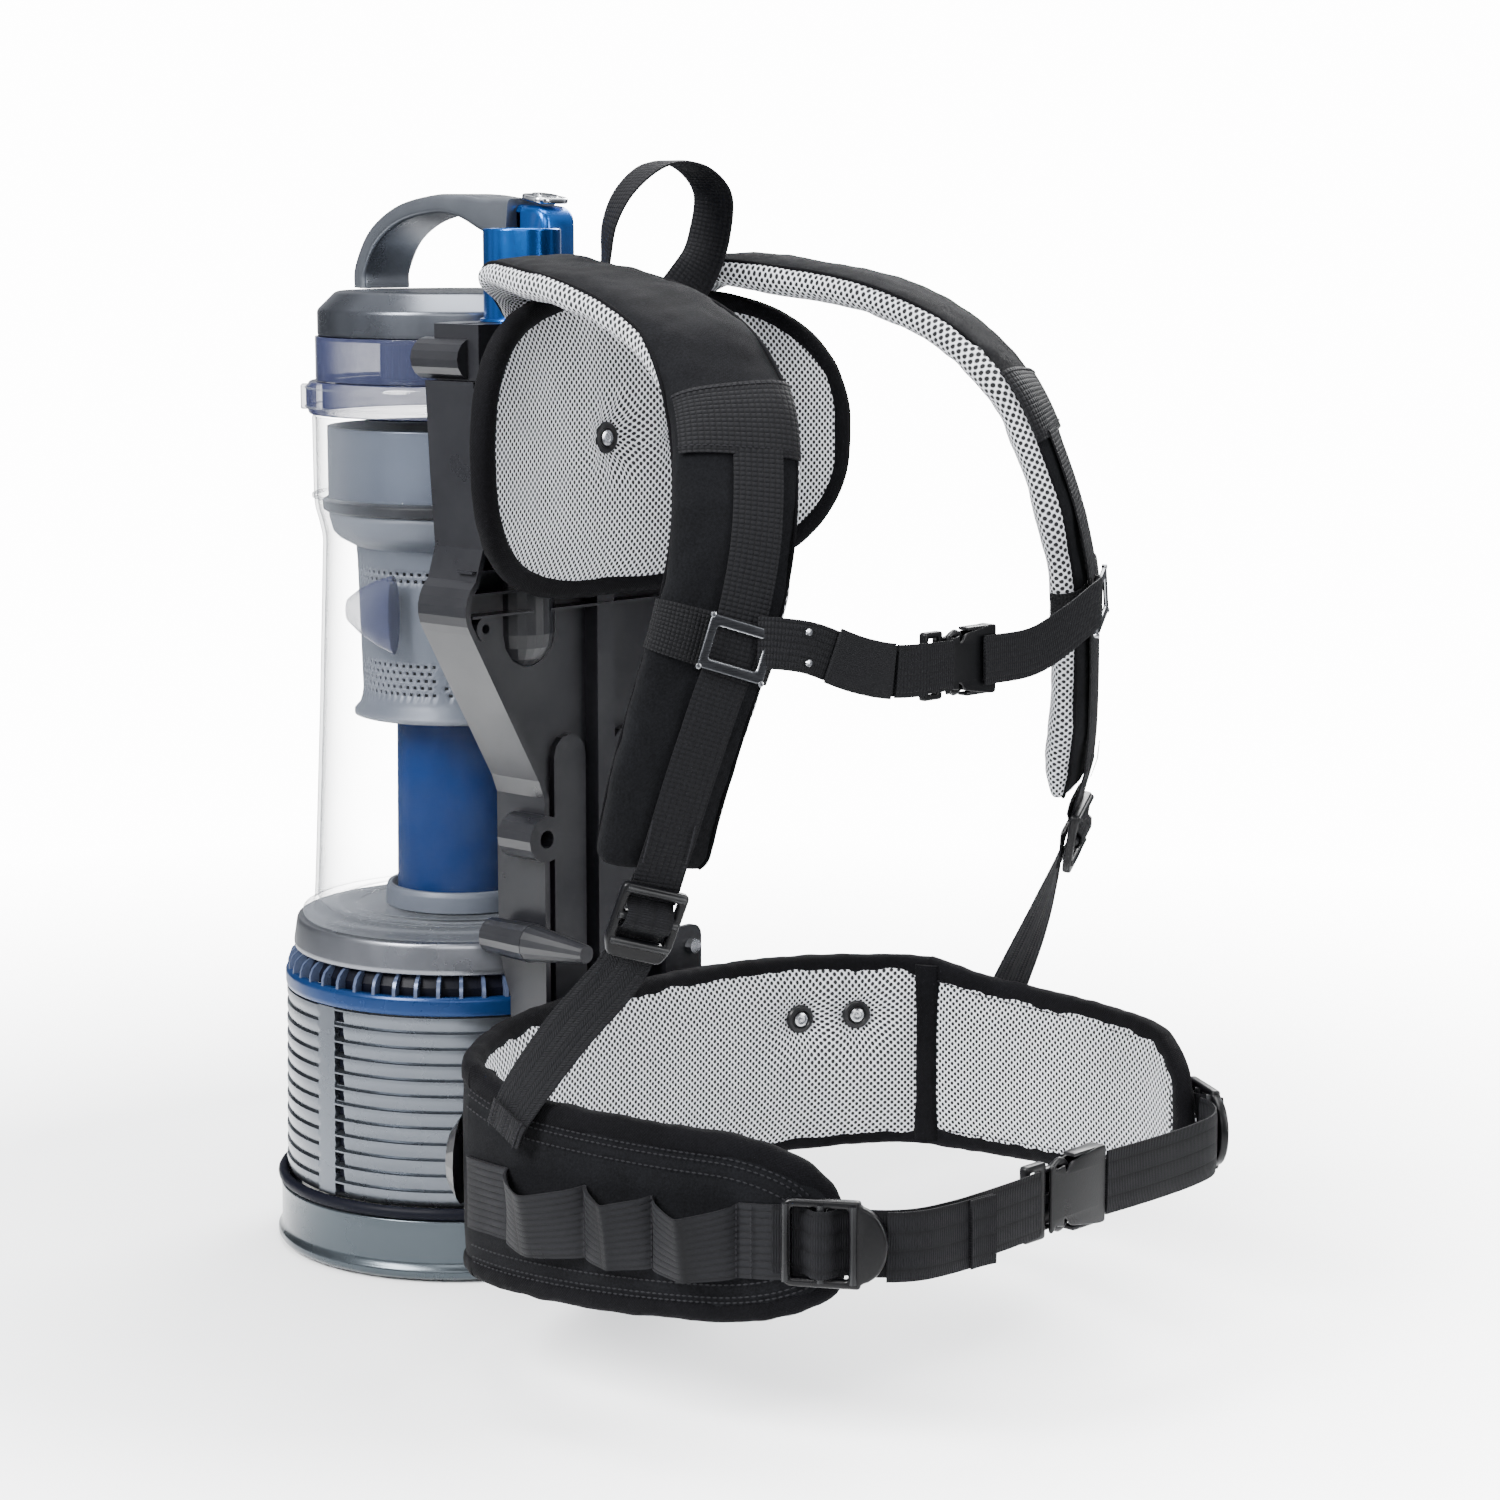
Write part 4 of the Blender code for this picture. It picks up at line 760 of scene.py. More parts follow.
def make_bin():
    """Clear bin with its flange, floor rings and socket, and the flattened nozzle."""
    outer = [(0.0300, 0.1904), (0.0925, 0.1904), (0.0930, 0.1915), (0.0930, 0.1942),
             (0.0918, 0.1952), (0.0880, 0.1958), (0.0866, 0.1975), (0.0860, 0.2010),
             (0.0848, 0.2250), (0.0809, 0.3150), (0.0775, 0.4070), (0.0780, 0.4120),
             (0.0796, 0.4190), (0.0815, 0.4260), (0.0822, 0.4325), (0.0824, 0.4780)]
    inner = [(r - 0.0018, z) for r, z in outer[:6:-1]]
    floor = [(0.0800, 0.1962), (0.0740, 0.1958), (0.0735, 0.1972), (0.0715, 0.1972),
             (0.0710, 0.1958), (0.0625, 0.1958), (0.0620, 0.1970), (0.0600, 0.1970),
             (0.0595, 0.1958), (0.0470, 0.1958), (0.0300, 0.1958)]
    shell = rounded(outer + inner + floor, 0.0009, 2)
    add("dust_bin_shell", lathe("dust_bin_shell", shell, 144), "clear", "bin",
        ("dust_bin", "bin_door"))
    socket = rounded([(0.0418, 0.1965), (0.0452, 0.1965), (0.0447, 0.2055), (0.0436, 0.2085),
                      (0.0412, 0.2085)], 0.0007)
    add("tube_socket", lathe("tube_socket", socket), "shroud", "bin")
    step = rounded([(0.0820, 0.4318), (0.0832, 0.4318), (0.0832, 0.4338), (0.0820, 0.4338)],
                   0.0003)
    add("bin_step", lathe("bin_step", step), "clear", "bin")

    rings = []
    for y, wide, tall in ((-0.0200, 0.0043, 0.0222), (-0.006, 0.0042, 0.0185),
                          (0.008, 0.0037, 0.0130), (0.018, 0.0032, 0.0070)):
        ring = oval(2 * wide, 2 * tall, 28)
        rings.append([(-0.0675 + x, y, 0.370 + z) for x, z in ring])
    add("inlet_nozzle_shell", skin("inlet_nozzle_shell", np.array(rings), around=True, caps=True),
        "tint", "bin", "inlet_nozzle")


def make_head():
    """Lock ring, window, lid, handle, latch post and button."""
    ring = rounded([(0.0765, 0.4790), (0.0838, 0.4790), (0.0852, 0.4825), (0.0856, 0.4850),
                    (0.0856, 0.4925), (0.0850, 0.4950), (0.0835, 0.4974), (0.0765, 0.4974)],
                   0.0008)
    add("lock_ring_shell", lathe("lock_ring_shell", ring), "tint", "head",
        "lock_ring")
    for i, z in enumerate((0.4832, 0.4938)):
        bead = [(0.0857 + 0.0006 * math.cos(a), z + 0.0006 * math.sin(a))
                for a in np.arange(8) * TAU / 8]
        add("lock_bead_%d" % i, lathe("lock_bead", bead), "clear", "head")
    tab = Matrix.Rotation(math.radians(48), 4, "Z")
    add("lock_tab", block("lock_tab", (-0.0060, 0.0800, 0.4815), (0.0060, 0.0885, 0.4955),
                          0.0012, tab), "tint", "head")
    window = rounded([(0.0782, 0.4979), (0.0800, 0.4979), (0.0800, 0.5225), (0.0782, 0.5225)],
                     0.0004)
    add("head_window_shell", lathe("head_window_shell", window), "tint", "head",
        "head_window")
    sill = rounded([(0.0700, 0.4979), (0.0790, 0.4979), (0.0790, 0.4992), (0.0700, 0.4992)],
                   0.0003)
    add("window_sill", lathe("window_sill", sill), "tint", "head")
    gasket = rounded([(0.0690, 0.5205), (0.0780, 0.5205), (0.0780, 0.5226), (0.0690, 0.5226)],
                     0.0003)
    add("window_gasket", lathe("window_gasket", gasket), "seal", "head")
    lid = rounded([(0.0, 0.5229), (0.0782, 0.5229), (0.0786, 0.5240), (0.0786, 0.5372),
                   (0.0678, 0.5478), (0.0600, 0.5480), (0.0, 0.5480)],
                  [0, 0.0005, 0.001, 0.0016, 0.0025, 0.001, 0])
    add("lid_shell", disc("lid_shell", lid, (0, 0, 0), (0, 0, 1), 144), "lid", "head",
        "lid")

    spine = smooth_path([(0.0640, 0.5484, 0.0050), (0.0628, 0.5600, 0.0050),
                         (0.0510, 0.5780, 0.0050), (0.0290, 0.5905, 0.0050),
                         (0.0000, 0.5960, 0.0052), (-0.0210, 0.5952, 0.0062),
                         (-0.0420, 0.5902, 0.0092), (-0.0550, 0.5882, 0.0112),
                         (-0.0618, 0.5874, 0.0116)], 8)
    rings = []
    slope = np.gradient(spine[:, :2], axis=0)
    for (y, z, thick), (dy, dz) in zip(spine, unit(slope)):
        up = np.array([0.0, -dz, dy]) * -1
        section = rounded([(-0.0180, -thick), (0.0180, -thick), (0.0180, thick),
                           (-0.0180, thick)], 0.0030, 4)
        rings.append([np.array([0, y, z]) + np.array([a, 0, 0]) + up * b for a, b in section])
    add("carry_handle", skin("carry_handle", np.array(rings), around=True, caps=True, crease=45),
        "handle", "head", "handle")
    outline = rounded([(0.0625, 0.5484), (0.0865, 0.5484), (0.0865, 0.5900), (0.0800, 0.5950),
                       (0.0625, 0.5958)], [0, 0, 0.006, 0.005, 0.001])
    turn = Matrix(((0, 0, 1, 0), (-1, 0, 0, 0), (0, 1, 0, 0), (0, 0, 0, 1)))
    add("latch_post_shell", plate("latch_post_shell", outline, [], 0.0240, 0.0040, turn, 5),
        "blue", "head", "latch_post")
    tilt = Matrix.Rotation(math.radians(9), 4, "X")
    place = Matrix.Translation((0, -0.0738, 0.5990)) @ tilt
    cap = plate("cap", rectangle(0.0232, 0.0196, 0.0070, 8), [], 0.0034, 0.0012, place)
    dish = disc("dish", [(0.0, 0.0019), (0.0050, 0.0019), (0.0072, 0.0024), (0.0076, 0.0017),
                         (0.0, 0.0010)], place.translation, tilt.to_3x3() @ Vector((0, 0, 1)), 40)
    add("latch_button_cap", joined("latch_button_cap", [cap, dish]), "silver", "latch",
        "latch_button")


# ---------------------------------------------------------------- frame and inlet
def make_frame():
    """The frame and duct keep their CAD shape; the inlet tube gets smooth walls."""
    for node, bevel in (("back_frame", 0.0007), ("top_bracket", 0.0009), ("side_bracket", 0.0006),
                        ("lumbar_plate", 0.0005)):
        paint(node, "frame", bevel)
    paint("inlet_duct", "frame")
    paint("bracket_bolt", "bright", 0.0004)
    paint("power_inlet", "buckle", 0.0006)
    paint("power_switch", "buckle", 0.0004)
    x, y = -0.0430, -0.1010
    tube = rounded([(0.0190, 0.5050), (0.0210, 0.5050), (0.0210, 0.5825), (0.0204, 0.5832),
                    (0.0195, 0.5832), (0.0190, 0.5825)], 0.0005)
    add("inlet_tube_shell", lathe("inlet_tube_shell", tube, 96, centre=(x, y)), "blue",
        "canister", "inlet_tube")
    foot = rounded([(0.0209, 0.5336), (0.0232, 0.5336), (0.0228, 0.5352), (0.0209, 0.5358)],
                   0.0004)
    add("inlet_tube_foot", lathe("inlet_tube_foot", foot, 96, centre=(x, y)), "blue", "canister")

# ---------------------------------------------------------------- soft goods helpers
def rumple(grid, height, size, seed=0.0, around=True):
    """Push a grid of points in and out by smooth noise, so that cloth isn't machine flat."""
    if around:
        du = np.roll(grid, -1, axis=1) - np.roll(grid, 1, axis=1)
    else:
        du = np.gradient(grid, axis=1)
    normals = unit(np.cross(du, np.gradient(grid, axis=0)))
    shift = Vector((seed, seed * 0.37, -seed))
    for i in range(grid.shape[0]):
        for j in range(grid.shape[1]):
            grid[i, j] += normals[i, j] * height * noise.noise(Vector(grid[i, j]) / size + shift)
    return grid


def gather(uv, spots, pull, width):
    """Draw a cloth's pattern in towards the places where it is pressed down."""
    made = uv.copy()
    for spot in spots:
        away = uv - np.array(spot)
        near = np.exp(-(np.linalg.norm(away, axis=-1, keepdims=True) / width) ** 2)
        made = made + away * near * pull
    return made


def soft_piece(name, mesh, mats, replaces=(), body="canister"):
    made = add(name, mesh, mats, body, replaces)
    return made


# ---------------------------------------------------------------- hip belt
BELT_POINTS = [(0.000, -0.1440), (0.045, -0.1450), (0.090, -0.1505), (0.122, -0.1610),
               (0.152, -0.1780), (0.1735, -0.1985), (0.1810, -0.2250), (0.1825, -0.2600),
               (0.1795, -0.3000), (0.1715, -0.3450), (0.1590, -0.3850), (0.1390, -0.4170)]
BELT_LOW, BELT_HIGH, BELT_CORNER = 0.056, 0.162, 0.1765
RIVET_SPOTS = ((0.1144, -0.1578), (0.1460, -0.1741))
RIVET_HEIGHT = 0.1320


class Belt:
    """The belt's plan as a curve, with distance measured from the middle of the back."""

    def __init__(self):
        half = smooth_path(BELT_POINTS, 16)
        full = np.vstack([half[:0:-1] * (-1, 1), half])
        self.plan = even(full, 0.0015)
        run = distances(self.plan)
        self.run = run - run[-1] / 2
        self.end = run[-1] / 2
        self.corner = self.run[np.argmax((self.plan[:, 0] > BELT_CORNER) & (self.run > 0))]

    def at(self, s):
        """Plan point and the direction towards the wearer, at distances s."""
        s = np.asarray(s, float)
        point = np.stack([np.interp(s, self.run, self.plan[:, k]) for k in (0, 1)], axis=-1)
        t = tangents(self.plan)
        t = unit(np.stack([np.interp(s, self.run, t[:, k]) for k in (0, 1)], axis=-1))
        return point, np.stack([t[..., 1], -t[..., 0]], axis=-1)

    def place(self, s, n, z):
        """Points at distance s, n towards the wearer, and height z."""
        s, n, z = np.broadcast_arrays(np.asarray(s, float), n, z)
        point, inward = self.at(s)
        flat = point + inward * n[..., None]
        return np.concatenate([flat, z[..., None]], axis=-1)

    def edges(self, s):
        """Lower and upper edge at distances s; the wings' ends are rounded."""
        s = abs(np.asarray(s, float))
        x = np.clip(self.at(s)[0][..., 0] / BELT_CORNER, 0, 1)
        share = np.clip((s - self.corner) / (self.end - self.corner), 0, 1)
        low = BELT_LOW + 0.016 * share ** 1.5
        drop = 0.007 * np.sin(np.clip(share * 4, 0, 1) * np.pi / 2) + 0.002 * share
        high = BELT_HIGH + 0.006 * (1 - x ** 2) - drop
        bow = 1 - np.sqrt(np.clip(1 - np.clip(1 - (self.end - s) / 0.061, 0, 1) ** 2, 0, 1))
        return low + 0.018 * bow, high - 0.036 * bow

    def spot(self, x, y):
        """Distance along the belt of a plan point."""
        return self.run[np.argmin(np.linalg.norm(self.plan - np.array([x, y]), axis=1))]


BELT = Belt()


def belt_panel(name, stations, face, back, spots=()):
    """A padded panel between two stations: mesh towards the wearer, cover cloth behind."""
    count, rear = 34, 12
    low, high = BELT.edges(stations)
    q = np.linspace(0, 1, count)
    q = 0.5 - 0.5 * np.cos(np.pi * q) * (0.85 + 0.15 * np.cos(np.pi * q) ** 2)
    puff = (1 - abs(2 * q - 1) ** 3.4)
    span = high - low
    front_z = low[:, None] + span[:, None] * q
    from_end = np.minimum(abs(stations - stations[0]), abs(stations - stations[-1]))
    tuck = 1 - 0.75 * np.exp(-(from_end / 0.010) ** 2)
    front_n = 0.0036 + face * puff[None, :] * tuck[:, None] * np.clip(span / 0.08, 0.3, 1)[:, None]
    for s, z in spots:
        r = np.hypot(stations[:, None] - s, front_z - z)
        front_n -= 0.0062 * np.exp(-(r / 0.0125) ** 2)
    for (sa, za), (sb, zb) in zip(spots[::2], spots[1::2]):
        along = np.clip((stations[:, None] - sa) / (sb - sa), -0.6, 1.6)
        line = za + (zb - za) * along
        off = np.hypot(front_z - line, (stations[:, None] - sa - along * (sb - sa)))
        front_n -= 0.0022 * np.exp(-(off / 0.0060) ** 2)
        for k, lean in enumerate((-1.4, -0.6, 0.6, 1.4)):
            fold = front_z - za + lean * (stations[:, None] - (sa + sb) / 2)
            reach = np.hypot(stations[:, None] - (sa + sb) / 2, front_z - za)
            front_n += (0.0009 if k % 2 else -0.0009) * np.exp(-(fold / 0.005) ** 2
                                                              - (reach / 0.038) ** 2)
    back_q = np.linspace(1, 0, rear)
    back_z = low[:, None] + span[:, None] * back_q
    back_n = -0.0034 - back * (1 - abs(2 * back_q - 1) ** 4)[None, :] * np.ones((len(stations), 1))
    n = np.hstack([front_n, back_n])
    z = np.hstack([front_z, back_z])
    grid = BELT.place(stations[:, None], n, z)
    grid = rumple(grid, 0.0005, 0.022, seed=stations[0] * 40)
    total = count + rear
    uv = np.zeros((len(stations) + 1, total + 1, 2))
    uv[:-1, :total, 0] = stations[:, None]
    uv[:-1, :total, 1] = z
    uv[-1], uv[:, -1] = uv[-2], uv[:, -2]
    uv[:, -1, 1] = uv[:, 0, 1]
    uv = gather(uv, spots, 0.40, 0.018)
    return skin(name, grid, around=True, caps=True, uv=uv, crease=60,
                paint=lambda i, j: 0 if j < count - 1 else 1)


def roll(name, path, side, thick, tall, seed=0.0, closed=False):
    """A rolled binding: a plump folded tape over an edge, with a slightly lumpy surface."""
    a = np.arange(20) * TAU / 20
    section = np.stack([tall / 2 * np.sign(np.cos(a)) * abs(np.cos(a)) ** 0.75,
                        thick / 2 * np.sign(np.sin(a)) * abs(np.sin(a)) ** 0.8], axis=1)
    t = tangents(path, closed)
    side = np.broadcast_to(side, path.shape)
    s = unit(side - t * (side * t).sum(axis=1, keepdims=True))
    n = np.cross(t, s)
    grid = (path[:, None, :] + section[None, :, :1] * s[:, None, :]
            + section[None, :, 1:] * n[:, None, :])
    if not closed:
        rumple(grid, 0.0007, 0.009, seed)
    return skin(name, grid, around=True, along=closed, caps=not closed, crease=80)


def belt_line(s, z, n=0.0):
    """A path on the belt and its directions: up the belt, and towards the wearer."""
    path = BELT.place(s, n, z)
    ahead = BELT.place(s, np.asarray(n) + 1.0, z) - path
    return path, ahead


def wing_outline(side, inset):
    """Wing outline (s, z) from the corner along the bottom, round the tip, and back on top."""
    s = np.concatenate([np.linspace(BELT.corner, BELT.end - 0.05, 30),
                        BELT.end - 0.05 + 0.05 * np.sin(np.linspace(0, np.pi / 2, 26)[1:])])
    low, high = BELT.edges(s)
    tip_z = np.linspace(low[-1], high[-1], 12)[1:-1]
    ring = np.vstack([np.stack([s, low], axis=1), np.stack([np.full(10, BELT.end), tip_z], axis=1),
                      np.stack([s, high], axis=1)[::-1]])
    ring = even(ring, 0.003)
    t = tangents(ring)
    ring = ring + np.stack([-t[:, 1], t[:, 0]], axis=1) * inset
    return ring[:, 0] * side, ring[:, 1], np.stack([-t[:, 1] * side, t[:, 0]], axis=1)


def outline_frame(s, z, inward, n):
    """Path points of an outline on the belt, and the in-plane direction towards its middle."""
    path = BELT.place(s, n, z)
    step = BELT.place(s + inward[:, 0] * 1e-3, n, z + inward[:, 1] * 1e-3)
    return path, unit(step - path)


def make_belt():
    """Lumbar pad, wings, their bindings, stitching and rivets, and the caps behind."""
    for cap in ("belt_cap_right", "belt_cap_left"):
        paint(cap, "buckle", 0.0012, 3)
    corner = BELT.corner
    stations = np.linspace(-corner, corner, 200)
    spots = []
    for side in (-1, 1):
        for x, y in RIVET_SPOTS:
            spots.append((side * abs(BELT.spot(x, y)), RIVET_HEIGHT))
    soft_piece("lumbar_pad_cloth", belt_panel("lumbar_pad_cloth", stations, 0.0068, 0.0016, spots),
               ["mesh", "cover"], "lumbar_pad")
    s = np.linspace(-corner - 0.001, corner + 0.001, 150)
    low, high = BELT.edges(s)
    for name, z, tall in (("top", high - 0.0040, 0.0136), ("bottom", low + 0.0030, 0.0110)):
        path, _ = belt_line(s, z)
        add("lumbar_binding_" + name, roll("lumbar_binding", path, (0, 0, 1), 0.0112, tall, 3.0),
            "binding", "canister")
    path, normal = belt_line(s[2:-2], high[2:-2] - 0.0088, 0.0056)
    add("lumbar_stitches", stitches("lumbar_stitches", path, normal), "thread", "canister")
    for name, side in SIDES.items():
        z = np.linspace(BELT_LOW + 0.001, BELT_HIGH - 0.001, 40)
        path, _ = belt_line(np.full(40, side * corner), z, 0.0040)
        across = belt_line(np.full(40, side * (corner + 0.001)), z, 0.0040)[0] - path
        add("corner_binding_" + name, roll("corner_binding", path, across, 0.0090, 0.0150, 5.0),
            "binding", "canister")
        rivets = []
        for k in (0, 1):
            point, inward = BELT.at(spots[(2 if side > 0 else 0) + k][0])
            centre = np.array([*(point + inward * 0.0056), RIVET_HEIGHT])
            rivets += press_rivet(centre, (*inward, 0), 0.0082)
        add("belt_rivets_" + name, joined("belt_rivets", rivets), ["buckle", "bright"], "canister")
        make_wing(name, side)


def press_rivet(centre, normal, radius):
    """A press rivet: a dark plastic ring round a stepped metal middle."""
    ring = [(0.0, -0.0020), (radius, -0.0020), (radius, 0.0006), (radius * 0.90, 0.0016),
            (radius * 0.66, 0.0018), (radius * 0.56, 0.0008), (0.0, 0.0006)]
    eye = [(0.0, 0.0004), (radius * 0.50, 0.0006), (radius * 0.48, 0.0017), (radius * 0.34, 0.0021),
           (radius * 0.30, 0.0013), (radius * 0.17, 0.0012), (radius * 0.14, 0.0022), (0.0, 0.0023)]
    meshes = [disc("ring", ring, centre, normal, 40), disc("eye", eye, centre, normal, 32)]
    meshes[1].polygons.foreach_set("material_index", [1] * len(meshes[1].polygons))
    return meshes


def make_wing(name, side):
    """One wing of the belt: mesh inside, cover cloth outside, bound and stitched all round."""
    reach = BELT.end - BELT.corner
    share = np.sin(np.linspace(0, np.pi / 2, 90))
    stations = side * (BELT.corner + 0.0008 + (reach - 0.0008) * share)
    soft_piece("belt_wing_cloth_" + name, belt_panel("belt_wing_cloth", stations, 0.0042, 0.0030),
               ["mesh", "cover"], "belt_wing_" + name)
    s, z, inward = wing_outline(side, 0.0038)
    path, across = outline_frame(s, z, inward, 0.0)
    add("wing_binding_" + name, roll("wing_binding", path, across, 0.0106, 0.0140, 7.0 * side),
        "binding", "canister")
    rows = []
    for inset, n in ((0.0078, -0.0060), (0.0105, -0.0066), (0.0168, -0.0070), (0.0078, 0.0056)):
        s, z, inward = wing_outline(side, inset)
        path, across = outline_frame(s, z, inward, n)
        out, _ = outline_frame(s, z, inward, n * 1.5)
        rows.append(stitches("row", path[2:-2], (out - path)[2:-2], 0.0034, 0.0023, 0.00042))
    add("wing_stitches_" + name, joined("wing_stitches", rows), "thread", "canister")


LOOP_STARTS = (0.0360, 0.0890, 0.1290, 0.1740)


def make_tool_loops():
    """Elastic strip on the right wing: flat at both ends, with three standing loops."""
    swell, width = (0.0150, 0.0125, 0.0150), 0.0370
    reach = BELT.end - BELT.corner
    run = np.linspace(0.002, reach - 0.010, 280)
    bulge, slide = np.zeros(len(run)), np.zeros(len(run))
    for start, end, tall in zip(LOOP_STARTS, LOOP_STARTS[1:], swell):
        phase = np.clip((run - start) / (end - start), 0, 1)
        bulge += tall * np.sin(np.pi * phase) ** 0.62
        slide += 0.0044 * np.sin(TAU * phase)
    s = -(BELT.corner + run + slide)
    n = -0.0078 - bulge
    middle = 0.1000 + 0.0090 * run / reach
    rows = []
    for lift, inset in ((0.5, 0.0), (0.25, 0.0003), (0.0, 0.0004), (-0.25, 0.0003), (-0.5, 0.0)):
        height = middle + width * lift - bulge * (0.26 + 0.24 * lift)
        rows.append(BELT.place(s, n + inset - bulge * lift * 0.50, height))
    outer = np.array(rows)
    inner = np.array([BELT.place(s, n + 0.0014 - bulge * lift * 0.50,
                                 middle + width * lift - bulge * (0.26 + 0.24 * lift))
                      for lift in (-0.5, 0.0, 0.5)])
    grid = np.concatenate([outer, inner]).transpose(1, 0, 2)
    rumple(grid, 0.0006, 0.016, 4.0)
    add("tool_loop_elastic", skin("tool_loop_elastic", grid, around=True, caps=True, crease=60),
        "elastic", "canister", "tool_loops")
    tacks = []
    for d in (*LOOP_STARTS, LOOP_STARTS[-1] + 0.0070):
        z = np.linspace(-0.0170, 0.0170, 12) + 0.1000 + 0.0090 * d / reach
        path, normal = belt_line(np.full(12, -(BELT.corner + d)), z, -0.0088)
        tacks.append(stitches("tack", path, -normal, 0.0028, 0.0020, 0.00045))
    add("tool_loop_tacks", joined("tool_loop_tacks", tacks), "thread", "canister")


WAIST_HEIGHT, WAIST_WIDTH = 0.1100, 0.0330


def adjuster_matrix(side):
    """Frame of a belt adjuster: X along the strap, Y out, Z up."""
    hinge = Vector((side * 0.1622, -0.4022, WAIST_HEIGHT))
    turn = Matrix.Rotation(math.radians(-90) - side * math.radians(32), 4, "Z")
    return Matrix.Translation(hinge) @ turn


FLAT = Matrix.Rotation(math.radians(90), 4, "X")


def make_belt_gear():
    """Belt adjusters with their finger tabs, the waist webbing and the waist buckle."""
    half = 0.0216
    tab = [(0.0360 + 0.0150 * math.cos(a), 0.0190 * math.sin(a))
           for a in np.linspace(-1.35, 1.35, 15)]
    corners = rounded([(0.0, -half), (0.0380, -half), (0.0380, half), (0.0, half)],
                      [0.0055, 0.002, 0.002, 0.0055], 5)
    outer = np.vstack([corners[:12], tab, corners[12:]])
    holes = [rectangle(0.0118, 0.0346, 0.0016) + (0.0104, 0),
             rectangle(0.0105, 0.0346, 0.0016) + (0.0268, 0)]
    for name, side in SIDES.items():
        place = adjuster_matrix(side)
        parts = [plate("frame", outer, holes, 0.0052, 0.0016, place @ FLAT)]
        for x in (0.0018, 0.0188, 0.0346):
            path = [place @ Vector((x, -0.0012, z)) for z in np.linspace(-0.0190, 0.0190, 6)]
            parts.append(sweep("bar", path, oval(0.0042, 0.0062, 12),
                               place.to_3x3() @ Vector((1, 0, 0))))
        node = "belt_adjuster_" + name
        add("adjuster_" + name, joined("adjuster", parts), "buckle", body_of(node),
            node)
        make_waist_webbing(name, side, place)
    make_buckle("waist_buckle", Vector((-0.0080, -0.4485, WAIST_HEIGHT)), 0.80)


def make_waist_webbing(name, side, place):
    """Webbing from the wing, through the adjuster, and on to its half of the buckle."""
    height = WAIST_HEIGHT
    start = BELT.end - 0.030
    root = [BELT.place(side * (start + d), -0.0078, height) for d in (0.0, 0.012, 0.022)]
    inner = [place @ Vector((x, y, 0)) for x, y in ((0.0036, 0.0050), (0.0106, 0.0024),
                                                    (0.0158, -0.0050), (0.0216, -0.0050),
                                                    (0.0272, 0.0024), (0.0334, 0.0056))]
    add("adjuster_webbing_" + name, band("adjuster_webbing", smooth_path(root + inner, 5),
                                         (0, 0, 1), WAIST_WIDTH), "fine", "canister")
    stop = 0.0310 if side < 0 else 0.0230
    route = [(0.1415, -0.4245, height), (0.1385, -0.4330, height), (0.1285, -0.4440, height),
             (0.1130, -0.4507, height), (0.0800, -0.4530, height),
             (0.0520, -0.4536, height), (stop, -0.4530, height)]
    route = smooth_path(np.array(route) * (side, 1, 1), 8)
    sag = np.interp(route[:, 0] * side, [stop, 0.09, 0.14], [0.0, -0.0010, 0.0])
    route[:, 2] += sag
    add("waist_webbing_band_" + name, band("waist_webbing_band", route, (0, 0, 1), WAIST_WIDTH),
        "fine", "canister", "waist_webbing_" + name)
    if side > 0:
        return
    tail = route[(route[:, 0] > -0.1330) & (route[:, 0] < -0.0700)]
    tail = tail + np.array([0.0, -0.0026, -0.0012])
    tail[-4:, 1] += np.array([0.0, -0.0004, -0.0010, -0.0018])
    add("waist_webbing_tail", band("waist_webbing_tail", tail, (0, 0, 1), WAIST_WIDTH + 0.0012), "fine",
        "canister")
    hem = band("hem", tail[-5:] + np.array([0, -0.0018, 0]), (0, 0, 1), WAIST_WIDTH + 0.0012)
    add("waist_webbing_hem", hem, "fine", "canister")


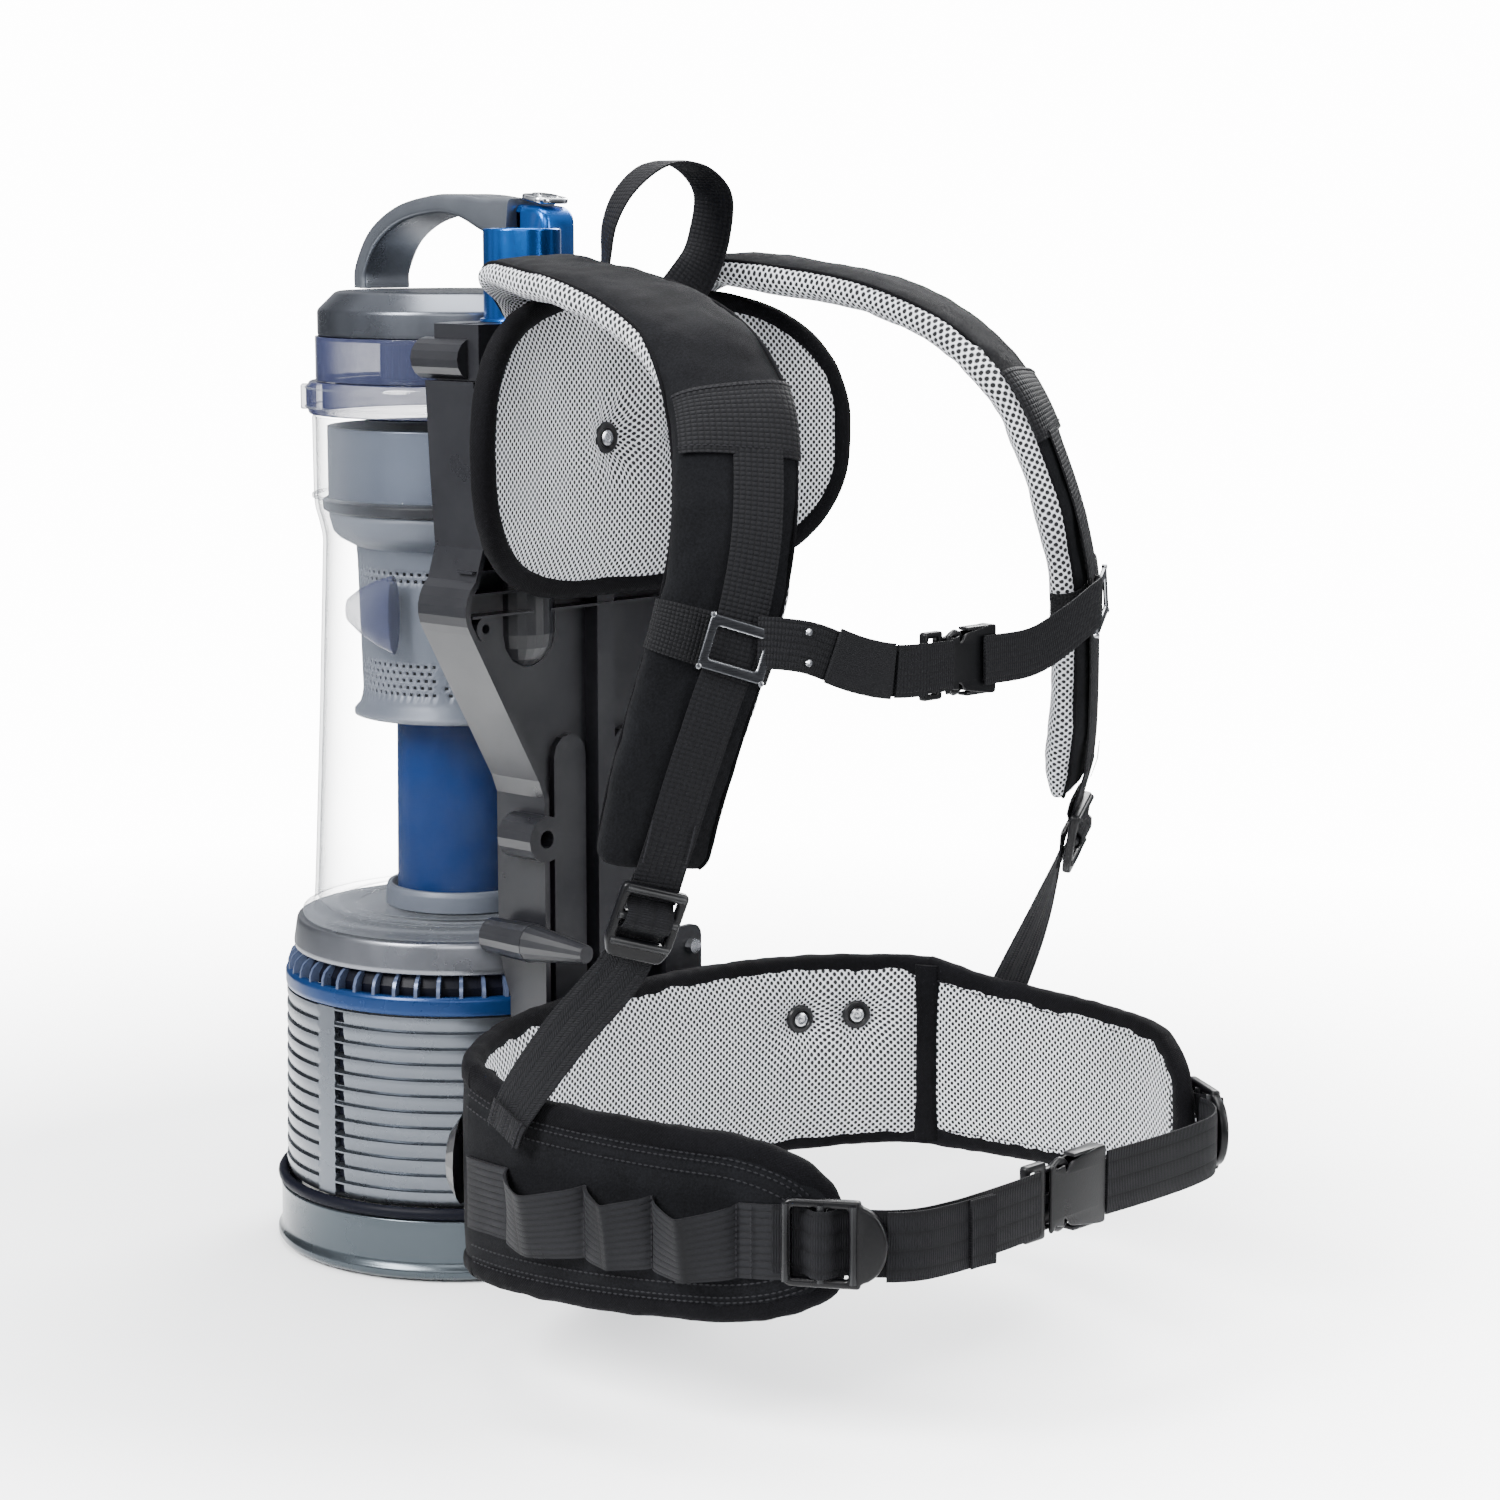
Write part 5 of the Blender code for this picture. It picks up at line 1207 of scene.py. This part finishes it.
def make_buckle(name, centre, scale):
    """Side-release buckle along X: the socket with its side windows, and the pronged plug."""
    place = Matrix.Translation(centre) @ FLAT @ Matrix.Scale(scale, 4)
    outline = rounded([(-0.0170, -0.0215), (-0.0120, -0.0225), (0.0330, -0.0250), (0.0380, -0.0250),
                       (0.0380, 0.0250), (0.0330, 0.0250), (-0.0120, 0.0225), (-0.0170, 0.0215)],
                      0.0022, 3)
    bites = []
    for point in outline:
        x, y = point
        dip = 0.0050 * math.exp(-((x + 0.0050) / 0.0075) ** 4) * (1 if abs(y) > 0.015 else 0)
        bites.append((x, y - math.copysign(dip, y)))
    dense = even(np.vstack([bites, bites[:1]]), 0.0012)[:-1]
    shaped = []
    for x, y in dense:
        dip = 0.0052 * math.exp(-((x + 0.0050) / 0.0072) ** 4) if abs(y) > 0.0195 else 0
        shaped.append((x, y - math.copysign(dip, y)))
    faces = []
    for z, thick in ((0.0046, 0.0024), (-0.0046, 0.0024)):
        face = plate("face", np.array(shaped), [], thick, 0.0009,
                     place @ Matrix.Translation((0, 0, z)))
        faces.append(face)
    for y in (-0.0236, 0.0236):
        faces.append(block("wall", (0.0070, y - 0.0013, -0.0046), (0.0370, y + 0.0013, 0.0046),
                           0.0010, place, 2))
    faces.append(block("end", (0.0335, -0.0240, -0.0052), (0.0378, 0.0240, 0.0052), 0.0014, place))
    faces.append(block("middle", (0.0040, -0.0060, -0.0046), (0.0330, 0.0060, 0.0046), 0.0008,
                       place, 2))
    add(name + "_socket_shell", joined("socket", faces), "buckle", body_of(name + "_socket"),
        name + "_socket")

    bar = rounded([(-0.0385, -0.0245), (-0.0185, -0.0245), (-0.0185, 0.0245), (-0.0385, 0.0245)],
                  0.0025, 4)
    parts = [plate("plug", bar, [rectangle(0.0095, 0.0395, 0.0015) + (-0.0290, 0)], 0.0062,
                   0.0016, place)]
    for side in (-1, 1):
        prong = smooth_path([(-0.0200, side * 0.0185), (-0.0120, side * 0.0185),
                             (-0.0060, side * 0.0205), (0.0010, side * 0.0200),
                             (0.0080, side * 0.0120)], 5)
        path = [place @ Vector((x, y, 0)) for x, y in prong]
        thick = np.interp(np.arange(len(path)), [0, 8, 12, 20], [0.8, 0.8, 1.6, 0.7])
        parts.append(sweep("prong", path, oval(0.0050, 0.0040, 12) * scale, (0, 1, 0),
                           scale=np.stack([np.ones(len(path)), thick], axis=1)))
    parts.append(block("tongue", (-0.0200, -0.0030, -0.0018), (0.0040, 0.0030, 0.0018), 0.0007,
                       place, 2))
    add(name + "_plug_frame", joined("plug", parts), "buckle", body_of(name + "_plug"),
        name + "_plug")


# ---------------------------------------------------------------- back pad
def pad_outline(count=240):
    """The back pad's outline (x, z), a rounded rectangle, even around."""
    middle, half_height, half = 0.4685, 0.0785, 0.140
    x = half * np.sin(np.linspace(-np.pi / 2, np.pi / 2, 160))
    reach = half_height * np.maximum(0.0, 1 - abs(x / half) ** 3.4) ** (1 / 2.3)
    ring = np.vstack([np.stack([x, middle - reach], axis=1),
                      np.stack([x, middle + reach], axis=1)[::-1]])
    ring = np.vstack([ring, ring[:1]])
    return even(ring, distances(ring)[-1] / count)[:count]


def pad_depth(x):
    """Y of the pad's middle surface, curved forward at its sides."""
    return -0.1345 - 0.0370 * (x / 0.140) ** 2


PAD_RIVETS = {"right": -0.0230, "left": 0.0340}


def make_back_pad():
    """Crowned back pad with a mesh front, gathered at two press rivets, and a bound edge."""
    outline = pad_outline()
    middle = np.array([0.0, 0.4685])
    front_r = np.sin(np.linspace(0.02, 1, 46) * np.pi / 2)
    back_r = np.linspace(1, 0.02, 10)
    rows, uvs = [], []
    spots = [(x, 0.4720) for x in PAD_RIVETS.values()]
    for r, face in [(r, 1) for r in front_r] + [(r, -1) for r in back_r]:
        flat = middle + (outline - middle) * (0.975 * r)
        depth = 0.0040 + (0.0100 if face > 0 else 0.0040) * (1 - r ** 4.5)
        x, z = flat[:, 0], flat[:, 1]
        if face > 0:
            for sx, sz in spots:
                away = np.hypot(x - sx, z - sz)
                angle = np.arctan2(z - sz, x - sx)
                depth = depth - 0.0085 * np.exp(-(away / 0.0150) ** 2)
                depth = depth + 0.0007 * np.sin(angle * 9) * np.exp(-((away - 0.016) / 0.010) ** 2)
        slope = -2 * 0.0370 * x / 0.140 ** 2
        length = np.sqrt(1 + slope ** 2)
        rows.append(np.stack([x + slope / length * depth * face, pad_depth(x) - depth * face
                              / length, z], axis=1))
        uvs.append(np.stack([x * (1 + 0.13 * (x / 0.14) ** 2), z], axis=1))
    grid = rumple(np.array(rows), 0.0012, 0.030, 9.0)
    uv = np.array(uvs)
    uv = np.concatenate([uv, uv[:, :1]], axis=1)
    uv = np.concatenate([uv, uv[-1:]], axis=0)
    uv = gather(uv, spots, 0.45, 0.018)
    count = len(front_r)
    pad = skin("back_pad_cloth", grid, around=True, caps=True, uv=uv, crease=75,
               paint=lambda i, j: 0 if i < count - 1 else 1)
    soft_piece("back_pad_cloth", pad, ["mesh", "cover"], "back_pad")
    ring = middle + (outline - middle) * 0.972
    path = np.stack([ring[:, 0], pad_depth(ring[:, 0]) - 0.0005, ring[:, 1]], axis=1)
    side = np.stack([outline[:, 0] - middle[0], 0 * outline[:, 0], outline[:, 1] - middle[1]],
                    axis=1)
    lump = np.array([noise.noise(Vector(p) / 0.010) for p in path])
    path = path + unit(side) * (lump * 0.0006)[:, None]
    add("back_pad_binding", roll("back_pad_binding", path, side, 0.0122, 0.0124, closed=True),
        "binding", "canister")
    for name, x in PAD_RIVETS.items():
        centre = (x, pad_depth(x) - 0.0082, 0.4720)
        add("pad_press_rivet_" + name, joined("rivet", press_rivet(centre, (0, -1, 0), 0.0086)),
            ["buckle", "bright"], "canister", "pad_rivet_" + name)


# ---------------------------------------------------------------- shoulder straps
STRAP_POINTS = [(0.0600, -0.1215, 0.5360), (0.0630, -0.1270, 0.5510), (0.0720, -0.1450, 0.5600),
                (0.0830, -0.1780, 0.5565), (0.0905, -0.2130, 0.5520), (0.0955, -0.2490, 0.5435),
                (0.1000, -0.2830, 0.5290), (0.1050, -0.3070, 0.5100), (0.1115, -0.3230, 0.4860),
                (0.1240, -0.3350, 0.4400), (0.1365, -0.3360, 0.3980), (0.1465, -0.3300, 0.3620),
                (0.1560, -0.3220, 0.3200), (0.1592, -0.3172, 0.2960), (0.1605, -0.3150, 0.2790)]
CROSS_AT, GLIDE_HEIGHT = 0.560, 0.3885


class Strap:
    """One shoulder strap: its centre line with width and outward directions along it."""

    def __init__(self, side):
        self.side = side
        path = smooth_path(np.array(STRAP_POINTS) * (side, 1, 1), 12)
        count = len(path)
        ahead = tangents(path)
        share = np.arange(count) / (count - 1)
        swing = np.radians(12 + 16 * np.minimum(1.0, share * 1.8))
        across = np.stack([np.cos(swing), side * np.sin(swing), 0 * swing], axis=1)
        across = unit(across - ahead * (across * ahead).sum(axis=1, keepdims=True))
        out = unit(np.cross(ahead, across))
        self.share, self.path, self.across, self.out = share, path, across, out

    def half(self, share):
        root = np.minimum(1.0, 0.36 + share * 5)
        return 0.0315 * root * (1 - 0.10 * np.maximum(0.0, share - 0.6) / 0.4)

    def thick(self, share):
        return 0.0100 * np.minimum(np.minimum(1.0, 0.20 + share * 4), 0.60 + (1 - share) * 6)

    def at_height(self, height):
        """Share of the strap's length at a height on its front stretch."""
        front = self.share > 0.35
        return float(np.interp(-height, -self.path[front, 2], self.share[front]))

    def frame(self, share):
        parts = []
        for data in (self.path, self.across, self.out):
            parts.append(np.stack([np.interp(share, self.share, data[:, k]) for k in range(3)],
                                  axis=-1))
        return parts

    def surface(self, share, angle, grow=0.0):
        """Points on the strap's skin; angle 90 degrees is the middle of its outer face."""
        share, angle = np.broadcast_arrays(np.asarray(share, float), angle)
        point, across, out = self.frame(share)
        a, b = np.cos(angle), np.sin(angle)
        wide = (self.half(share) + grow) * np.sign(a) * abs(a) ** 0.62
        plump = np.where(b > 0, 1.12, 0.92)
        tall = (self.thick(share) * plump + grow) * np.sign(b) * abs(b) ** 0.78
        end = np.clip((1 - share) / 0.035, 0, 1)
        wide = wide * (0.72 + 0.28 * np.sqrt(1 - (1 - end) ** 2))
        tall = tall * (0.55 + 0.45 * np.sqrt(1 - (1 - end) ** 2))
        return point + across * wide[..., None] + out * tall[..., None]

    def face(self, share, offset, lift):
        """Points above the outer face: offset sideways towards +X, lifted off the skin."""
        point, across, out = self.frame(np.asarray(share, float))
        clear = self.thick(share) * 1.12 + lift
        return point + across * np.asarray(offset)[..., None] + out * np.asarray(clear)[..., None]


STRAPS = {name: Strap(side) for name, side in SIDES.items()}
SEAM = math.radians(33)


def seam_angles(side, share):
    """Where the cover meets the mesh on either edge; it wraps the outer edge low down."""
    inner = np.full(len(share), SEAM)
    outer = np.radians(np.interp(share, [0.42, 0.60], [33.0, -24.0]))
    low, high = (outer, inner) if side > 0 else (inner, outer)
    return low, math.pi - high


def strap_band(strap, start, end, low, high, lift, thick=0.0013, rows=14, cols=26):
    """A thin woven band laid over the strap between two shares and two angles."""
    share = np.linspace(start, end, rows)[:, None]
    angle = np.linspace(low, high, cols)[None, :]
    outer = strap.surface(share, angle, lift + thick)
    inner = strap.surface(share, angle, lift)[:, ::-1]
    return skin("strap_band", np.concatenate([outer, inner], axis=1), around=True, caps=True,
                crease=60)


def make_straps():
    """Padded shoulder straps: cover cloth outside, mesh inside, webbing and bands sewn on."""
    for name, side in SIDES.items():
        strap = STRAPS[name]
        share = np.concatenate([np.linspace(0, 0.96, 200), np.linspace(0.962, 1.0, 16)])
        low, high = seam_angles(side, share)
        top = low[:, None] + (high - low)[:, None] * np.linspace(0, 1, 29)
        under = high[:, None] + (low + TAU - high)[:, None] * np.linspace(0, 1, 33)[1:-1]
        grid = strap.surface(share[:, None], np.hstack([top, under]))
        rumple(grid, 0.0016, 0.028, 11.0 * side)
        rumple(grid, 0.0006, 0.009, 5.0 * side)
        count = top.shape[1]
        soft_piece("shoulder_strap_cloth_" + name,
                   skin("shoulder_strap_cloth", grid, around=True, caps=True, crease=70,
                        paint=lambda i, j: 0 if j < count - 1 else 1),
                   ["cover", "mesh"], "shoulder_strap_" + name)
        seams = []
        for edge in (low, high):
            path = strap.surface(share[2:-2], edge[2:-2], 0.0001)
            seams.append(cord_loop("seam", path, 0.0011, closed=False, side=(0, 0, 1), count=8))
        add("strap_seams_" + name, joined("seams", seams), "binding", "canister")
        make_strap_bands(name, side, strap)


def make_strap_bands(name, side, strap):
    """Cross band, webbing, keeper and stitching on one strap."""
    inner = -side
    cross, glide = CROSS_AT, strap.at_height(GLIDE_HEIGHT)
    add("strap_cross_band_" + name, strap_band(strap, cross - 0.034, cross + 0.034,
                                               math.radians(28), math.radians(152), 0.0006),
        "grid", "canister")
    share = np.linspace(cross + 0.030, 0.985, 70)
    offset = inner * np.interp(share, [0.6, 0.75, 1.0], [0.0075, 0.0070, 0.0010])
    lift = np.interp(share, [0.6, 0.7, 0.93, 1.0], [0.0012, 0.0022, 0.0022, 0.0034])
    path = strap.face(share, offset, lift)
    _, across, _ = strap.frame(share)
    tail = path[-1] + unit(path[-1] - path[-2]) * np.array([[0.006], [0.012], [0.020]])
    path = np.vstack([path, tail])
    across = np.vstack([across, np.repeat(across[-1:], 3, axis=0)])
    add("strap_webbing_band_" + name, band("strap_webbing_band", path, across, 0.0250), "grid",
        "canister", "strap_webbing_" + name)
    keeper = strap_band(strap, glide - 0.024, glide + 0.024, math.radians(-30),
                        math.radians(210), 0.0006)
    add("strap_keeper_" + name, keeper, "dots", "canister")
    rows = []
    for at in (cross - 0.030, cross + 0.029):
        angle = np.linspace(math.radians(30), math.radians(150), 40)
        line = strap.surface(np.full(40, at), angle, 0.0022)
        rows.append(stitches("row", line, strap.frame(np.full(40, at))[2], 0.0032, 0.0022, 0.0004))
    for edge in (-0.0110, 0.0110):
        share = np.linspace(0.90, 0.975, 20)
        line = strap.face(share, offset=inner * 0.0015 + np.full(20, edge), lift=0.0045)
        rows.append(stitches("row", line, strap.frame(share)[2], 0.0030, 0.0021, 0.0004))
    add("strap_stitches_" + name, joined("rows", rows), "thread", "canister")


def make_strap_gear():
    """Tri-glides, strap-end adjusters and the webbing down to the belt."""
    for name, side in SIDES.items():
        place = glide_matrix(STRAPS[name], side)
        add("tri_glide_frame_" + name, glide_mesh(place), ["steel", "bright"],
            body_of("tri_glide_" + name), "tri_glide_" + name)
        make_lower_strap(name, side)


def glide_matrix(strap, side):
    """Frame of a tri-glide: X across the strap, Y down it, Z outwards."""
    share = strap.at_height(GLIDE_HEIGHT)
    _, across, out = strap.frame(share)
    down = unit(np.cross(across, out))
    down = down if down[2] < 0 else -down
    matrix = Matrix((across, down, unit(np.cross(across, down)))).transposed().to_4x4()
    matrix.translation = strap.face(share, -side * 0.0070, 0.0056)
    return matrix


def glide_mesh(place):
    """Wire-edged metal tri-glide with small corner knobs."""
    outer = rectangle(0.0345, 0.0265, 0.0028)
    hole = rectangle(0.0255, 0.0165, 0.0022)
    parts = [plate("body", outer, [hole], 0.0022, 0.0008, place)]
    rim = rectangle(0.0268, 0.0178, 0.0026, 5)
    path = np.array([place @ Vector((x, y, 0.0)) for x, y in rim])
    wire = cord_loop("rim", path, 0.00095, side=place.to_3x3() @ Vector((0, 0, 1)), count=10)
    wire.polygons.foreach_set("material_index", [1] * len(wire.polygons))
    parts.append(wire)
    for x in (-0.0165, 0.0165):
        for y in (-0.0128, 0.0128):
            knob = disc("knob", [(0.0, -0.0016), (0.0014, -0.0012), (0.0016, 0.0), (0.0012, 0.0014),
                                 (0.0, 0.0017)], place @ Vector((x, y, 0)),
                        place.to_3x3() @ Vector((0, 0, 1)), 14)
            knob.polygons.foreach_set("material_index", [1] * len(knob.polygons))
            parts.append(knob)
    return joined("glide", parts)


def lower_frame(side):
    """Frame of a strap-end adjuster: X across, Y down along the strap, Z outwards."""
    top = Vector((side * 0.1644, -0.3184, 0.2674))
    down = Vector((side * 0.16, 0.30, -0.940)).normalized()
    across = Vector((math.cos(math.radians(28)), side * math.sin(math.radians(28)), 0))
    across = (across - down * across.dot(down)).normalized()
    out = down.cross(across).normalized()
    if out[1] > 0:
        out, across = -out, across
    matrix = Matrix((across, down, out)).transposed().to_4x4()
    matrix.translation = top + out * 0.0042
    return matrix, across, down, out


def make_lower_strap(name, side):
    """Strap-end adjuster with its webbing, sewn to the outside of the wing."""
    place, across, down, out = lower_frame(side)
    outer = rounded([(-0.0175, -0.0040), (0.0175, -0.0040), (0.0175, 0.0260), (0.0140, 0.0340),
                     (-0.0140, 0.0340), (-0.0175, 0.0260)], 0.0030, 4)
    holes = [rectangle(0.0262, 0.0085, 0.0014) + (0, 0.0055),
             rectangle(0.0262, 0.0085, 0.0014) + (0, 0.0195)]
    parts = [plate("frame", outer, holes, 0.0050, 0.0015, place)]
    for y in (-0.0012, 0.0125, 0.0258):
        path = [place @ Vector((x, y, 0.0012)) for x in np.linspace(-0.0155, 0.0155, 6)]
        parts.append(sweep("bar", path, oval(0.0042, 0.0058, 12), down))
    node = "strap_adjuster_" + name
    add("strap_adjuster_frame_" + name, joined("adjuster", parts), "buckle", body_of(node),
        node)
    loop = [place @ Vector((0, y, z)) for y, z in ((-0.010, -0.0040), (-0.002, -0.0050),
                                                   (0.0055, -0.0010), (0.0095, 0.0048),
                                                   (0.0160, 0.0048), (0.0200, -0.0010),
                                                   (0.0260, -0.0052), (0.0330, -0.0058))]
    add("strap_adjuster_loop_" + name, band("loop", smooth_path(loop, 5), across, 0.0245), "fine",
        "canister")
    start = place.translation - out * 0.0064 + down * 0.012
    route = smooth_path([start, start + down * 0.030 - out * 0.001,
                         (side * 0.1840, -0.2790, 0.1950), (side * 0.1938, -0.2540, 0.1580),
                         (side * 0.1946, -0.2450, 0.1400)], 8)
    share = np.linspace(0, 1.15, len(route))[:, None].clip(0, 1)
    last = unit(np.array([0.06 * side, side * 0.98, 0.42 * side])) * side * side
    turn = unit(np.array(across) * (1 - share) + last * share)
    add("lower_webbing_band_" + name, band("lower_webbing_band", route, turn, 0.0250), "twill",
        "canister", "lower_webbing_" + name)
    hem = route[-7:] + np.array([side * 0.0019, 0, -0.0006])
    add("lower_webbing_hem_" + name, band("hem", hem, turn[-7:], 0.0256), "twill", "canister")
    rows = []
    for edge in (-0.0100, 0.0100):
        rows.append(stitches("row", hem + turn[-7:] * edge + (side * 0.0013, 0, 0),
                             (side, 0, 0), 0.0028, 0.0020, 0.0004))
    add("lower_webbing_tacks_" + name, joined("rows", rows), "thread", "canister")


# ---------------------------------------------------------------- grab loop and sternum strap
def make_grab_loop():
    """Ribbed webbing loop at the top of the frame."""
    loop = [(-0.0280, -0.1440, 0.5440), (-0.0310, -0.1520, 0.5640), (-0.0330, -0.1580, 0.5860),
            (-0.0240, -0.1620, 0.6040), (-0.0050, -0.1650, 0.6165), (0.0200, -0.1650, 0.6160),
            (0.0400, -0.1630, 0.6020), (0.0410, -0.1600, 0.5800), (0.0350, -0.1570, 0.5620),
            (0.0300, -0.1440, 0.5440)]
    route = smooth_path(loop, 12)
    share = np.linspace(0, 1, len(route))[:, None]
    turn = np.radians(45 + 80 * share)
    side = np.hstack([np.cos(turn), np.sin(turn), 0 * turn])
    add("grab_loop_band", band("grab_loop_band", route, side, 0.0250, 0.0024), "grid", "canister",
        "grab_loop")


def make_sternum():
    """Sternum webbing in its layers, with two small rivets, and the small buckle."""
    right = smooth_path([(-0.1310, -0.3570, 0.3890), (-0.1236, -0.3660, 0.3885),
                         (-0.1100, -0.3735, 0.3855), (-0.0850, -0.3790, 0.3760),
                         (-0.0550, -0.3795, 0.3700), (-0.0130, -0.3795, 0.3690)], 12)
    left = smooth_path([(0.1310, -0.3570, 0.3890), (0.1236, -0.3660, 0.3895),
                        (0.1120, -0.3735, 0.3890),
                        (0.0800, -0.3790, 0.3790), (0.0500, -0.3795, 0.3700),
                        (0.0120, -0.3795, 0.3690)], 12)
    add("sternum_band_right", band("sternum_band", right, (0, 0, 1), 0.0250), "rib", "canister",
        "sternum_webbing_right")
    add("sternum_band_left", band("sternum_band", left, (0, 0, 1), 0.0250), "rib", "canister",
        "sternum_webbing_left")
    x = right[:, 0]
    sleeve = right[(x > -0.1020) & (x < -0.0580)] + np.array([0, -0.0020, 0])
    add("sternum_sleeve", band("sternum_sleeve", sleeve, (0, 0, 1), 0.0275, 0.0022), "smooth",
        "canister")
    under = right[(x > -0.0600) & (x < -0.0330)] + np.array([0, -0.0018, 0])
    add("sternum_fold", band("sternum_fold", under, (0, 0, 1), 0.0262), "grid", "canister")
    studs = []
    for z in (-0.0075, 0.0075):
        at = right[np.argmin(abs(x + 0.1130))]
        centre = at + np.array([0, -0.0012, z])
        studs.append(disc("stud", [(0.0, 0.0), (0.0019, 0.0), (0.0017, 0.0007), (0.0, 0.0011)],
                          centre, (-0.10, -0.99, 0), 20))
    add("sternum_studs", joined("studs", studs), "bright", "canister")
    make_buckle("sternum_buckle", Vector((-0.0030, -0.3735, 0.3690)), 0.70)


# ---------------------------------------------------------------- camera, light and floor
def area_light(name, location, target, size, power, colour=(1, 1, 1)):
    """A rectangular softbox pointing at a target."""
    light = bpy.data.lights.new(name, "AREA")
    light.shape = "RECTANGLE"
    light.size, light.size_y = size
    light.energy = power
    light.color = colour
    made = bpy.data.objects.new(name, light)
    made.location = location
    aim = Vector(target) - Vector(location)
    made.rotation_euler = aim.to_track_quat("-Z", "Y").to_euler()
    bpy.context.scene.collection.objects.link(made)
    return made


def make_world(scene):
    """A white backdrop that lights the object as tall panels with dark gaps between them."""
    world = bpy.data.worlds.new("studio")
    world.use_nodes = True
    tree = world.node_tree
    soft = tree.nodes["Background"]
    soft.inputs["Strength"].default_value = 0.95
    where = tree.nodes.new("ShaderNodeTexCoord")
    panels = tree.nodes.new("ShaderNodeTexNoise")
    panels.inputs["Scale"].default_value = 2.3
    panels.inputs["Detail"].default_value = 0.0
    squash = tree.nodes.new("ShaderNodeVectorMath")
    squash.operation = "MULTIPLY"
    squash.inputs[1].default_value = (1.0, 1.0, 0.35)
    ramp = tree.nodes.new("ShaderNodeValToRGB")
    ramp.color_ramp.elements[0].position, ramp.color_ramp.elements[1].position = 0.44, 0.60
    ramp.color_ramp.elements[0].color = (0.10, 0.105, 0.12, 1)
    ramp.color_ramp.elements[1].color = (0.93, 0.95, 1.0, 1)
    tree.links.new(where.outputs["Generated"], squash.inputs[0])
    tree.links.new(squash.outputs[0], panels.inputs["Vector"])
    tree.links.new(panels.outputs["Fac"], ramp.inputs["Fac"])
    tree.links.new(ramp.outputs["Color"], soft.inputs["Color"])
    paper = tree.nodes.new("ShaderNodeBackground")
    paper.inputs["Strength"].default_value = 18.0
    path = tree.nodes.new("ShaderNodeLightPath")
    mix = tree.nodes.new("ShaderNodeMixShader")
    tree.links.new(path.outputs["Is Camera Ray"], mix.inputs[0])
    tree.links.new(soft.outputs[0], mix.inputs[1])
    tree.links.new(paper.outputs[0], mix.inputs[2])
    tree.links.new(mix.outputs[0], tree.nodes["World Output"].inputs["Surface"])
    scene.world = world


def make_studio():
    """Camera at the pictured angle, soft lights, and a pale floor that fades into the background."""
    scene = bpy.context.scene
    heading, pitch = math.radians(46.7276), math.radians(-8.850)
    forward = Vector((math.sin(heading) * math.cos(pitch), math.cos(heading) * math.cos(pitch),
                      math.sin(pitch)))
    camera = bpy.data.cameras.new("camera")
    camera.lens, camera.sensor_width = 83.76, 36.0
    camera.clip_start, camera.clip_end = 0.05, 60
    holder = bpy.data.objects.new("camera", camera)
    holder.location = (-1.33735, -1.48767, 0.59464)
    holder.rotation_euler = forward.to_track_quat("-Z", "Y").to_euler()
    scene.collection.objects.link(holder)
    scene.camera = holder

    make_world(scene)

    middle = (0.0, -0.15, 0.30)
    right = Vector((math.cos(heading), -math.sin(heading), 0))
    ahead = Vector((math.sin(heading), math.cos(heading), 0))
    up = Vector((0, 0, 1))
    base = Vector(middle)
    area_light("key", base - right * 1.5 - ahead * 1.3 + up * 1.5, middle, (0.8, 1.2), 165)
    area_light("fill", base + right * 1.9 - ahead * 0.9 + up * 0.7, middle, (0.7, 1.6), 45)
    area_light("front", base - ahead * 2.4 + up * 1.0, middle, (1.6, 0.9), 30)
    area_light("top", base + up * 2.1 + ahead * 0.2, middle, (1.4, 1.4), 100)
    area_light("rim", base + ahead * 1.9 + right * 0.9 + up * 1.4, middle, (1.4, 1.0), 100)

    turn = np.arange(96) * TAU / 96
    floor_mesh = bpy.data.meshes.new("floor")
    floor_mesh.from_pydata([(2.4 * math.cos(a), 2.4 * math.sin(a), -0.001) for a in turn], [],
                           [tuple(range(96))])
    floor = bpy.data.objects.new("floor", floor_mesh)
    paper = Shader("floor_paper", (0.95, 0.955, 0.96), 0.8, Specular_IOR_Level=0.1)
    reach = paper.vec("LENGTH", paper.coords())
    paper.wire(paper.ramp(reach, 1.0, 0.0, 0.35, 1.30), "Alpha")
    floor_mesh.materials.append(paper.material)
    scene.collection.objects.link(floor)


def main():
    """Build every piece around the frame, then the studio."""
    for maker in (make_canister, make_cyclone, make_bin, make_head, make_frame, make_belt,
                  make_belt_gear, make_tool_loops, make_back_pad, make_straps,
                  make_strap_gear, make_grab_loop, make_sternum, make_studio):
        maker()


main()
